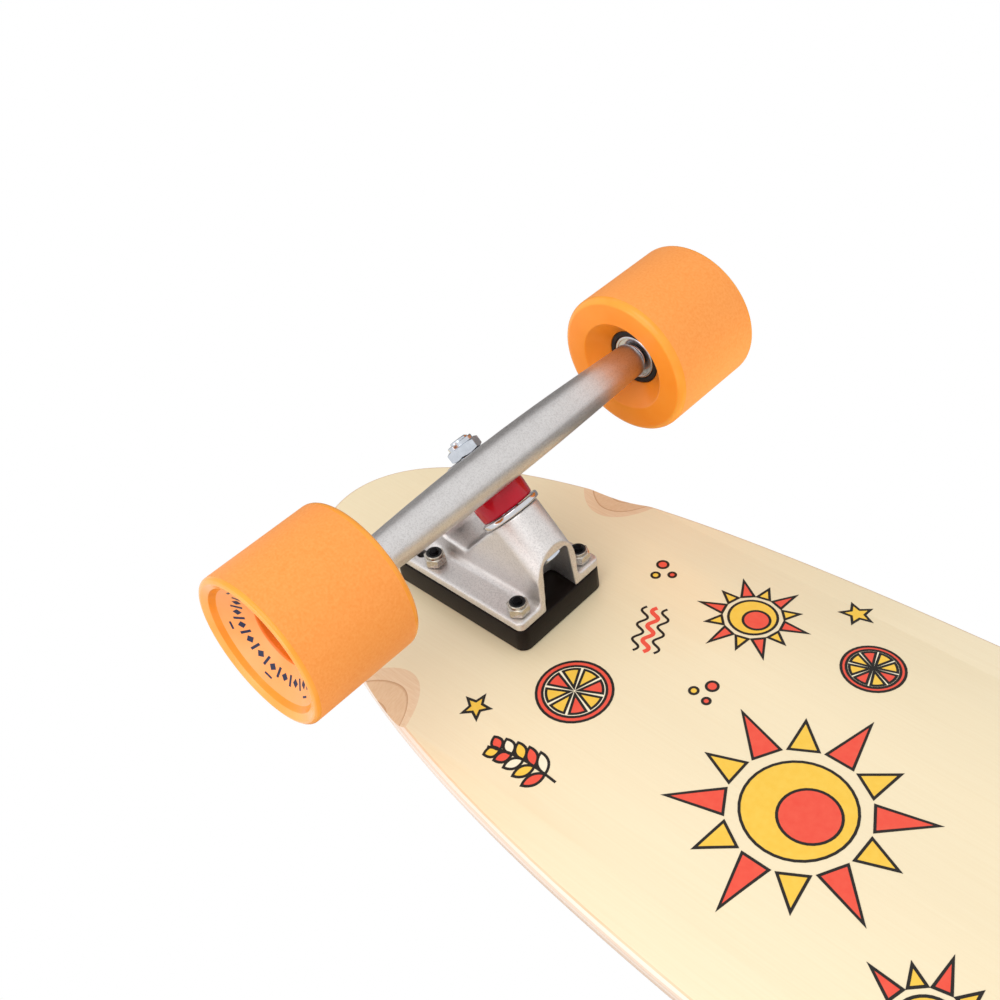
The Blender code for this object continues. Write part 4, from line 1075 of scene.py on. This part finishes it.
pivot.transform(pivot_way)
low_pocket = cylinder("low pocket", RING_POCKET_RADIUS, -RING_HALF, -30)
high_pocket = cylinder("high pocket", RING_POCKET_RADIUS, 30, RING_HALF)
kingpin_hole = cylinder("kingpin hole", RING_HOLE_RADIUS, 30, -30, 64)
axle_hole = cylinder("axle hole", AXLE_RADIUS + GAP, 100, -100, 48)
axle_hole.transform(bar_place)
solid = carved(ring, [bar, web, arm, pivot], [low_pocket, high_pocket, kingpin_hole, axle_hole])
casting = cast(solid, voxel=0.7, fillet=1.6)
piece = on_trucks(casting, "hanger_casting", "kingpin", "hanger", "cast_aluminium", body="hanger_body")
print("a hanger has", len(piece.data.polygons), "faces")

# %% [markdown]
# ## On the kingpin
#
# From the tower down: a cupped washer, the tall boardside bushing, the hanger's ring, the
# cone-shaped roadside bushing, a smaller washer and a lock nut. The bushings are the springs
# that the board steers against.

# %% Bushings, washers and pivot cups
BUSHING_BORE = KINGPIN_RADIUS + GAP
STACK = {
    "boardside_bushing": (
        "red_urethane",
        [(BUSHING_BORE, -16.9), (13.0, -16.9, 1.2), (13.4, -10.1, 8.0), (13.0, -3.3, 1.2),
         (BUSHING_BORE, -3.3)],
    ),
    "roadside_bushing": (
        "red_urethane",
        [(BUSHING_BORE, 3.3), (13.0, 3.3, 1.2), (10.8, 11.1, 1.2), (BUSHING_BORE, 11.1)],
    ),
    "boardside_washer": (
        "chromed_steel",
        [(BUSHING_BORE, -20.0, 0.2), (14.7, -20.0, 0.9), (14.7, -17.2, 0.6), (13.5, -17.2, 0.2),
         (13.3, -17.4, 0.1), (BUSHING_BORE, -17.4, 0.1)],
    ),
    "roadside_washer": (
        "chromed_steel",
        [(BUSHING_BORE, 11.4, 0.2), (11.8, 11.4, 0.5), (11.8, 13.0, 0.5), (BUSHING_BORE, 13.0, 0.2)],
    ),
}
for name, (slot, corners) in STACK.items():
    on_trucks(lathe(name, corners), f"{name}_turned", "kingpin", name, slot)

cup = lathe("pivot cup", [
    (0, CUP_BOTTOM), (CUP_RADIUS, CUP_BOTTOM, 0.8), (CUP_RADIUS, PIVOT_MOUTH - GAP),
    (10.6, PIVOT_MOUTH - GAP, 0.5), (10.6, 41.9, 0.7), (5.8, 41.9, 0.6), (5.8, 49.8), (0, 49.8),
])
on_trucks(cup, "pivot_cup_moulded", "kingpin", "pivot_cup", "black_urethane", pivot_way)


# %% [markdown]
# ## Nuts, bolts and threads
#
# A nut is a hexagon whose corners a lathe has turned off, which leaves the curved edges that
# the eye knows. So each nut is drawn as rings of points: a circle where the chamfer starts
# and a hexagon below it. A thread is a ridge that follows a helix: it repeats along a path,
# so Geometry Nodes make it, once for each size.

# %% Lock nuts
# Width across flats, height of the hexagon, the collar's radius and height.
NUTS = {
    "deck nut": (9.5, 4.6, 4.0, 1.4),
    "kingpin nut": (14.3, 5.2, 6.2, 1.8),
    "axle nut": (12.7, 5.8, 5.4, 1.7),
    "kingpin head": (14.3, 6.5, 6.2, 0.01),
}


def lock_nut(name, bore):
    """A hexagon nut with a collar, which is also what a bolt's head is drawn from."""
    flats, hex_height, collar_radius, collar_height = NUTS[name]
    steps = 72
    apothem = flats / 2
    circle = 0.95 * apothem

    def hexagon(angle):
        sector = math.radians(60)
        return apothem / math.cos((angle + sector / 2) % sector - sector / 2)

    def chamfer(angle):
        return (hexagon(angle) - circle) * math.tan(math.radians(28))

    top = hex_height + collar_height
    rows = [
        lambda a: (bore, 0.3),
        lambda a: (bore + 0.3, 0),
        lambda a: (circle, 0),
        lambda a: (hexagon(a), chamfer(a)),
        lambda a: (hexagon(a), hex_height - chamfer(a)),
        lambda a: (circle, hex_height),
        lambda a: (collar_radius, hex_height),
        lambda a: (collar_radius, top - 0.35),
        lambda a: (collar_radius - 0.12, top - 0.1),
        lambda a: (collar_radius - 0.35, top),
        lambda a: (bore + 0.5, top),
        lambda a: (bore, top - 0.5),
    ]

    def build(work):
        rings = []
        for row in rows:
            points = []
            for step in range(steps):
                angle = 2 * math.pi * step / steps
                r, z = row(angle)
                points.append(work.verts.new((*polar(r, angle), z)))
            rings.append(points)
        for lower, upper in zip(rings, rings[1:] + rings[:1]):
            for here, there in zip(range(steps), [*range(1, steps), 0]):
                work.faces.new((lower[here], lower[there], upper[there], upper[here]))

    return mesh_from(name, build)


def with_nylon(nut, inner, outer, bottom, top):
    """A lock nut with the nylon ring that grips the thread."""
    ring = lathe("nylon ring", [(inner, bottom), (outer, bottom), (outer, top, 0.2), (inner, top, 0.2)], 48)
    for face in ring.polygons:
        face.material_index = 1
    return gathered(nut.name, [nut, ring])


DECK_NUT_FINISHES = [MATERIALS["dull_zinc"], MATERIALS["black_nylon"]]
AXLE_NUT_FINISHES = [MATERIALS["zinc_steel"], MATERIALS["black_nylon"]]
deck_nut = with_nylon(lock_nut("deck nut", BOLT_RADIUS + GAP), 2.5, 3.8, 3.0, 6.15)
kingpin_nut = lock_nut("kingpin nut", KINGPIN_RADIUS + GAP)
axle_nut = with_nylon(lock_nut("axle nut", AXLE_RADIUS + GAP), 4.1, 4.9, 4.0, 7.55)

for index, (x, y) in enumerate(BOLT_PLACES, 1):
    under = move(x, y, FLANGE_UNDERSIDE - GAP) @ turn(180, "X")
    on_trucks(
        deck_nut, f"deck_nut_{index}", "truck", f"lock_nut_{index}", "zinc_steel", under,
        DECK_NUT_FINISHES, NUT_SHARP_FROM,
    )
# The kingpin nut stands on the roadside washer, turned as far as the wrench happened to leave it.
KINGPIN_NUT_START, KINGPIN_NUT_TURN = 13.3, -19
tightened = move(0, 0, KINGPIN_NUT_START) @ turn(KINGPIN_NUT_TURN, "Z")
on_trucks(
    kingpin_nut, "kingpin_lock_nut", "kingpin", "kingpin_nut", "zinc_steel", tightened,
    sharp=NUT_SHARP_FROM,
)


# %% Threads by Geometry Nodes
THREAD_SIZES = ("Root radius", "Pitch", "Turns", "Ridge")
thread_tree, sizes = new_tree("thread", {**{name: FLOAT for name in THREAD_SIZES}, "Finish": MATERIAL})
length = maths(thread_tree, "MULTIPLY", sizes.outputs["Pitch"], sizes.outputs["Turns"])
helix = add_node(thread_tree, "GeometryNodeCurveSpiral", {
    "Resolution": 32,
    "Rotations": sizes.outputs["Turns"],
    "Start Radius": sizes.outputs["Root radius"],
    "End Radius": sizes.outputs["Root radius"],
    "Height": length,
})
sockets = {"Resolution": 4, "Radius": sizes.outputs["Ridge"]}
crest = add_node(thread_tree, "GeometryNodeCurvePrimitiveCircle", sockets)
sockets = {"Curve": helix.outputs[0], "Profile Curve": crest.outputs[0], "Fill Caps": True}
ridge = add_node(thread_tree, "GeometryNodeCurveToMesh", sockets)
finish_tree(thread_tree, ridge.outputs[0], sizes.outputs["Finish"])


def thread(radius, pitch, length, slot):
    """A ridge whose crest reaches the radius, standing on Z = 0."""
    ridge_size = 0.45 * pitch
    values = dict(zip(THREAD_SIZES, (radius - ridge_size, pitch, length / pitch, ridge_size)))
    return grown(thread_tree, {**values, "Finish": MATERIALS[slot]})


def cored(radius, pitch):
    """The radius of the rod under such a thread."""
    return radius - 0.6 * pitch


# %% Bolts, kingpins and axles
BOLT_PITCH, KINGPIN_PITCH, AXLE_PITCH = 0.79, 1.06, 1.06
bolt_core = cored(BOLT_RADIUS, BOLT_PITCH)
shaft = lathe("deck bolt", [
    (0, 0), (BOLT_HEAD_RADIUS, 0, 0.15), (BOLT_HEAD_RADIUS, -0.3, 0.1),
    (BOLT_RADIUS, -BOLT_HEAD_HEIGHT), (BOLT_RADIUS, -20), (bolt_core, -20.5),
    (bolt_core, -BOLT_LENGTH, 0.4), (0, -BOLT_LENGTH),
], 40)
SOCKET_RADIUS = 1.75
socket_corners = [polar(SOCKET_RADIUS, math.radians(60 * corner)) for corner in range(6)]
shaft = carved(shaft, removed=[plate("socket", socket_corners, [(0, -1.9), (0, 3)])])
bolt_thread = moved(thread(BOLT_RADIUS, BOLT_PITCH, 15.4, "black_steel"), move(0, 0, -BOLT_LENGTH + 0.5))
bolt = gathered("deck bolt", [shaft, bolt_thread])

kingpin_core = cored(KINGPIN_RADIUS, KINGPIN_PITCH)
head = lock_nut("kingpin head", 1.0)
shank = lathe("shank", [
    (0, HEAD_BOTTOM + 0.2), (6.0, HEAD_BOTTOM + 0.2, 0.3), (6.0, HEAD_BOTTOM + 1.5),
    (KINGPIN_RADIUS, HEAD_BOTTOM + 1.5), (KINGPIN_RADIUS, 10), (kingpin_core, 10.6),
    (kingpin_core, KINGPIN_TIP, 0.7), (0, KINGPIN_TIP),
], 64)
pin_thread = moved(thread(KINGPIN_RADIUS, KINGPIN_PITCH, 10.2, "zinc_steel"), move(0, 0, 10.7))
kingpin = gathered("kingpin", [moved(head, move(0, 0, HEAD_BOTTOM)), shank, pin_thread])

axle_core = cored(AXLE_RADIUS, AXLE_PITCH)
half_axle = [(axle_core, AXLE_TIP, 0.5), (axle_core, 114.5), (AXLE_RADIUS, 114)]
# The outer speed ring, the spacer between the bearings and the inner speed ring.
COLLARS, COLLAR_RADIUS = ((116.5, 115.7), (108.1, 98.7), (91.1, 90.3)), 5.5
collars = []
for outer, inner in COLLARS:
    sides = [(COLLAR_RADIUS, inner, 0.15), (COLLAR_RADIUS, outer, 0.15)]
    corners = [(AXLE_RADIUS - 0.5, inner), *sides, (AXLE_RADIUS - 0.5, outer)]
    collars.append(lathe("collar", corners, 48))
mirrored = [(r, -z, *q) for r, z, *q in reversed(half_axle)]
rod = lathe("axle", [(0, AXLE_TIP), *half_axle, *mirrored, (0, -AXLE_TIP)], 48)
tip_thread = moved(thread(AXLE_RADIUS, AXLE_PITCH, 10.6, "axle_steel"), move(0, 0, 115.2))
one_end = gathered("axle end", [*collars, tip_thread])
axle = gathered("axle", [rod, one_end, moved(one_end, turn(180, "X"))])


def in_steel(mesh, name, frame_of, node, slot, extra=None, body=None):
    """Puts a piece of one steel on each truck."""
    on_trucks(mesh, name, frame_of, node, slot, extra, [MATERIALS[slot]], body=body)


for index, (x, y) in enumerate(BOLT_PLACES, 1):
    in_steel(bolt, f"bolt_{index}", "truck", f"deck_bolt_{index}", "black_steel", move(x, y, BOLT_TOP))
in_steel(kingpin, "kingpin_bolt", "kingpin", "kingpin", "zinc_steel")
in_steel(axle, "axle_rod", "axle", "axle", "axle_steel", turn(90, "X"), "hanger_body")

# %% [markdown]
# ## Wheels
#
# A longboard wheel is soft urethane cast round a hard core that holds two bearings. Its whole
# shape is one profile turned about the axle: a ground tread between round lips, a deep dish
# on the outside and a shallow cone on the inside. Each face gets the finish of the zone it
# lies in, and the rest get the plain moulded one.

# %% Tyres, cores and bearings
# Where the dish starts and ends: radius, and height above the inner face.
DISH_START, DISH_END = (14.5, 42.8), (28.1, 51.3)
tyre_corners = [
    (13.8, 33.0), (*DISH_START, 1.2), (*DISH_END, 1.2), (29.8, 53.5, 0.5), (32.6, 55.0, 1.0),
    (35.0, 55.0, 2.2), (35.0, 0.0, 3.4), (22.4, 0.0, 0.9), (21.6, 0.9, 0.6), (13.8, 9.0, 0.5),
]
tyre = lathe("tyre", tyre_corners, 160, 6)
# Where each finish lies: least and most radius, then least and most height above the inner face.
# The rim and lip zones take painted highlights, the step and mouth zones painted shade and the dish zone
# partly painted light.
TYRE_ZONES = [
    ("orange_tread", 34.9, 36.0, 3.3, 52.9),
    ("orange_rim", 32.2, 36.0, 0.0, 3.3),
    ("orange_rim", 34.2, 36.0, 52.9, 55.0),
    ("orange_lip", 29.7, 34.2, 53.4, 55.1),
    ("orange_step", 27.6, 29.9, 50.9, 53.4),
    ("orange_mouth", 13.0, 15.4, 30.0, 43.9),
    ("orange_dish", 15.4, 27.6, 42.0, 51.4),
]
TYRE_FINISHES = ["orange_urethane", *dict.fromkeys(zone[0] for zone in TYRE_ZONES)]
for finish in TYRE_FINISHES:
    tyre.materials.append(MATERIALS[finish])
for face in tyre.polygons:
    radius, height = Vector(face.center[:2]).length, face.center.z
    for finish, near, far, low, high in TYRE_ZONES:
        if near <= radius <= far and low <= height <= high:
            face.material_index = TYRE_FINISHES.index(finish)
core = lathe("core", [
    (13.5, 33.0, 0.3), (13.5, 9.0, 0.3), (11.3, 9.0, 0.3), (11.3, 16.3), (9.0, 16.3), (9.0, 25.7),
    (11.3, 25.7), (11.3, 33.0, 0.3),
])


def bearing(start):
    """A shielded ball bearing: two races with a shield set back between them."""
    end = start + BEARING_WIDTH
    face = [(11.0, 0, 0.4), (9.7, 0, 0.1), (9.5, 0.35), (6.4, 0.35), (6.2, 0, 0.1), (4.3, 0, 0.3)]
    lower = [(r, start + z, *q) for r, z, *q in face]
    upper = [(r, end - z, *q) for r, z, *q in reversed(face)]
    return lathe("bearing", lower + upper, 72)


# %% Marks on the wheels, by Geometry Nodes
# A ring of small bars and diamonds is pad-printed in the outer dish. One plate is repeated round a circle
# and tilted to the dish, which is a cone. The plates sink into it, so only a film of ink stands proud.
MARK_THICKNESS, MARK_SUNK = 0.3, 0.08
MARK_SIZES = ("Radius", "Length", "Width", "Turn", "Slope")
kinds = {"Count": WHOLE, **{name: FLOAT for name in MARK_SIZES}, "Finish": MATERIAL}
marks_tree, sizes = new_tree("marks", kinds)
sockets = {0: sizes.outputs["Length"], 1: sizes.outputs["Width"], 2: MARK_THICKNESS}
plate_size = add_node(marks_tree, "ShaderNodeCombineXYZ", sockets)
one_mark = add_node(marks_tree, "GeometryNodeMeshCube", {"Size": plate_size.outputs[0]})
# First a turn in its own plane about Z, then a tilt about Y to the slope of the dish.
slope = maths(marks_tree, "MULTIPLY", sizes.outputs["Slope"], -1.0)
for axis, angle in ((2, sizes.outputs["Turn"]), (1, slope)):
    angles = add_node(marks_tree, "ShaderNodeCombineXYZ", {axis: angle}).outputs[0]
    sockets = {"Geometry": one_mark.outputs[0], "Rotation": angles}
    one_mark = add_node(marks_tree, "GeometryNodeTransform", sockets)
sockets = {"Vertices": sizes.outputs["Count"], "Radius": sizes.outputs["Radius"]}
around = add_node(marks_tree, "GeometryNodeMeshCircle", sockets)
sockets = {"Vector": add_node(marks_tree, "GeometryNodeInputPosition").outputs[0]}
outwards = add_node(
    marks_tree, "FunctionNodeAlignRotationToVector", sockets, axis="X", pivot_axis="Z",
)
repeated = add_node(marks_tree, "GeometryNodeInstanceOnPoints", {
    "Points": around.outputs[0], "Instance": one_mark.outputs[0], "Rotation": outwards.outputs[0],
})
finish_tree(marks_tree, repeated.outputs[0], sizes.outputs["Finish"])

DISH_SLOPE = math.atan2(DISH_END[1] - DISH_START[1], DISH_END[0] - DISH_START[0])


def marks(count, radius, length, width, degrees, start):
    """A ring of marks on the dish, each turned by so many degrees, the first at a direction in degrees."""
    values = dict(zip(MARK_SIZES, (radius, length, width, math.radians(degrees), DISH_SLOPE)))
    values |= {"Count": count, "Finish": MATERIALS["wheel_ink"]}
    height = DISH_START[1] + (radius - DISH_START[0]) * math.tan(DISH_SLOPE)
    return moved(grown(marks_tree, values), move(0, 0, height - MARK_SUNK) @ turn(start, "Z"))


bars, diamonds = marks(18, 21.0, 4.8, 1.2, 0, 0), marks(18, 21.0, 2.6, 2.6, 45, 10)
dashes = marks(6, 25.0, 0.9, 4.0, 0, 10)
wheel_marks = gathered("wheel marks", [bars, diamonds, dashes])

# %% Wheels
WHEEL_MESHES = {
    "tyre": (tyre, "orange_urethane"),
    "core": (core, "black_nylon"),
    "inner_bearing": (bearing(INNER_BEARING), "zinc_steel"),
    "outer_bearing": (bearing(OUTER_BEARING), "zinc_steel"),
}
WHEELS = {}
for end, places in TRUCKS.items():
    for hand, side in (("left", 1), ("right", -1)):
        out = side if end == "rear" else -side
        wheel_place = places["axle"] @ move(0, out * WHEEL_START, 0) @ turn(-out * 90, "X")
        WHEELS[f"{end}_{hand}"] = wheel_place
        body = f"{end}_{hand}_wheel"
        corner = f"{end}_{hand}"
        for name, (mesh, slot) in WHEEL_MESHES.items():
            put(mesh, f"{corner}_{name}_turned", wheel_place, body, slot, f"{corner}_{name}")
        ink = [MATERIALS["wheel_ink"]]
        put(wheel_marks, f"{corner}_marks", wheel_place, body, "orange_urethane", None, ink)
        nut_place = places["axle"] @ move(0, out * AXLE_NUT, 0) @ turn(-out * 90, "X")
        put(
            axle_nut, f"{corner}_axle_lock_nut", nut_place, f"{end}_hanger_body", "zinc_steel",
            f"{corner}_axle_nut", AXLE_NUT_FINISHES, NUT_SHARP_FROM,
        )
print("wheels at", {name: [round(v) for v in place.translation] for name, place in WHEELS.items()})

# %% [markdown]
# ## Studio
#
# The picture looks up at the tail from below the floor, so the floor shows only to a camera
# above it. White surrounds are what the camera and the metal see; the light itself comes from
# a soft even sky and large lamps.

# %% Floor
# The floor is a clear film that darkens where something stands close above it. A wheel that
# dips under it when a truck steers still shows whole. The shade fades out a stride away from
# the board, so that no edge of it shows.
FLOOR_HALF, FLOOR_LEVEL, FADE_START, FADE_END = 4.0, -0.0004, 0.7, 1.5
SHADE_REACH, FLOOR_SHADE = 0.3, "#BDB7AE"
floor_mesh = bpy.data.meshes.new("floor")
quarters = ((-1, -1), (1, -1), (1, 1), (-1, 1))
floor_corners = [(FLOOR_HALF * x, FLOOR_HALF * y, FLOOR_LEVEL) for x, y in quarters]
floor_mesh.from_pydata(floor_corners, [], [(0, 1, 2, 3)])
floor = on_bench(floor_mesh)
floor.name = "studio_floor"
made = bpy.data.materials.new("pale studio floor")
made.use_nodes = True
tree = made.node_tree
tree.nodes.clear()
rays = add_node(tree, "ShaderNodeLightPath")
faces_away = add_node(tree, "ShaderNodeNewGeometry").outputs["Backfacing"]
from_above = maths(tree, "SUBTRACT", 1.0, faces_away)
spot = add_node(tree, "ShaderNodeTexCoord").outputs["Object"]
away = add_node(tree, "ShaderNodeVectorMath", {0: spot}, operation="LENGTH")
fading = spread(tree, away.outputs["Value"], FADE_START, FADE_END, 1.0, 0.0)
shown = maths(tree, "MULTIPLY", maths(tree, "MULTIPLY", rays.outputs["Is Camera Ray"], from_above), fading)
open_sky = add_node(tree, "ShaderNodeAmbientOcclusion", {"Distance": SHADE_REACH}).outputs["AO"]
shaded = maths(tree, "MULTIPLY", maths(tree, "SUBTRACT", 1.0, open_sky), shown)
tone = two_tone(tree, shaded, colour("#FFFFFF"), colour(FLOOR_SHADE))
film_of_shade = add_node(tree, "ShaderNodeBsdfTransparent", {"Color": tone}).outputs[0]
add_node(tree, "ShaderNodeOutputMaterial", {"Surface": film_of_shade})
floor.data.materials.append(made)
floor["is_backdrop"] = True

# %% World and lamps
world = bpy.data.worlds.new("studio")
bpy.context.scene.world = world
world.use_nodes = True
tree = world.node_tree
tree.nodes.clear()
rays = add_node(tree, "ShaderNodeLightPath")
seen = maths(tree, "MAXIMUM", rays.outputs["Is Camera Ray"], rays.outputs["Is Glossy Ray"])
seen = maths(tree, "MAXIMUM", seen, rays.outputs["Is Transmission Ray"])
# How bright the sky is as a light, and how bright where it is seen.
skies = []
for strength in (0.82, 1.0):
    sockets = {"Color": colour("#FFFFFF"), "Strength": strength}
    skies.append(add_node(tree, "ShaderNodeBackground", sockets).outputs[0])
mixed = add_node(tree, "ShaderNodeMixShader", {0: seen, 1: skies[0], 2: skies[1]}).outputs[0]
add_node(tree, "ShaderNodeOutputWorld", {"Surface": mixed})


def soft_lamp(name, place, target, size, watts):
    """A round lamp of this size in metres that faces a target."""
    light = bpy.data.lights.new(name, "AREA")
    light.shape = "DISK"
    light.size = size
    light.energy = watts
    lamp = bpy.data.objects.new(name, light)
    bpy.context.scene.collection.objects.link(lamp)
    lamp.location = place
    lamp.rotation_euler = (Vector(place) - Vector(target)).to_track_quat("Z", "Y").to_euler()
    return lamp


soft_lamp("lamp below", (-0.15, 0.65, -0.95), (-0.35, 0, 0.08), 1.0, 4.9)
soft_lamp("lamp beside", (-0.55, 1.5, -0.15), (-0.38, 0, 0.05), 1.2, 5)
# The lamp above would draw a hard white line along each bar, so it lights without being mirrored.
soft_lamp("lamp above", (0.6, -0.8, 1.8), (0, 0, 0.1), 1.6, 40).visible_glossy = False

# %% Grey cloth
# Bright metal looks flat in an even white room, so photographers hang grey cloth behind and
# over it. Here a tall curved strip stands behind the tail, a wide one hangs beside the board
# and a round sheet hangs above. Only mirror-like rays see them.
CLOTH_RADIUS, CLOTH_HIGH = 1.8, 2.4
# Each strip's first and last direction in degrees and the height where it starts.
CLOTH_STRIPS = ((190, 245, -1.15), (245, 350, 0.25))


def cloth_sheets(work):
    def at(degrees, z):
        angle = math.radians(degrees)
        return work.verts.new((CLOTH_RADIUS * math.cos(angle), CLOTH_RADIUS * math.sin(angle), z))

    for first, last, bottom in CLOTH_STRIPS:
        turns = [first + (last - first) * step / 24 for step in range(25)]
        low, high = [at(turned, bottom) for turned in turns], [at(turned, CLOTH_HIGH) for turned in turns]
        for here in range(24):
            work.faces.new((low[here], low[here + 1], high[here + 1], high[here]))
    work.faces.new([at(360 * step / 48, CLOTH_HIGH) for step in range(48)])


cloth = on_bench(mesh_from("cloth", cloth_sheets))
cloth.name = "studio_cloth"
made, tree, shader, place = new_material("grey studio cloth", Roughness=0.9)
weave = noise(tree, place, 4)
tree.links.new(two_tone(tree, weave, colour("#7C7A79"), colour("#868483")), shader.inputs["Base Color"])
cloth.data.materials.append(made)
for rays in ("camera", "diffuse", "transmission", "volume_scatter", "shadow"):
    setattr(cloth, f"visible_{rays}", False)
cloth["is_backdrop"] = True

# %% Camera
# Focal length in millimetres, place in metres and turns in degrees, worked out from the sizes
# in the picture.
LENS, CAMERA_PLACE = 47.08, (-0.045548, 0.282406, -0.325514)
CAMERA_TURNS = (-131.5391, -7.6780, -43.5005)
camera = bpy.data.objects.new("camera", bpy.data.cameras.new("camera"))
bpy.context.scene.collection.objects.link(camera)
camera.data.sensor_width = 36.0
camera.data.lens = LENS
camera.data.clip_start = 0.01
camera.location = CAMERA_PLACE
camera.rotation_euler = [math.radians(angle) for angle in CAMERA_TURNS]
bpy.context.scene.camera = camera

# %% View settings and sizes
bpy.context.scene.view_settings.view_transform = "Standard"
low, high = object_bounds()
print("the visual box is", [round(1000 * (b - a), 1) for a, b in zip(low, high)], "mm")
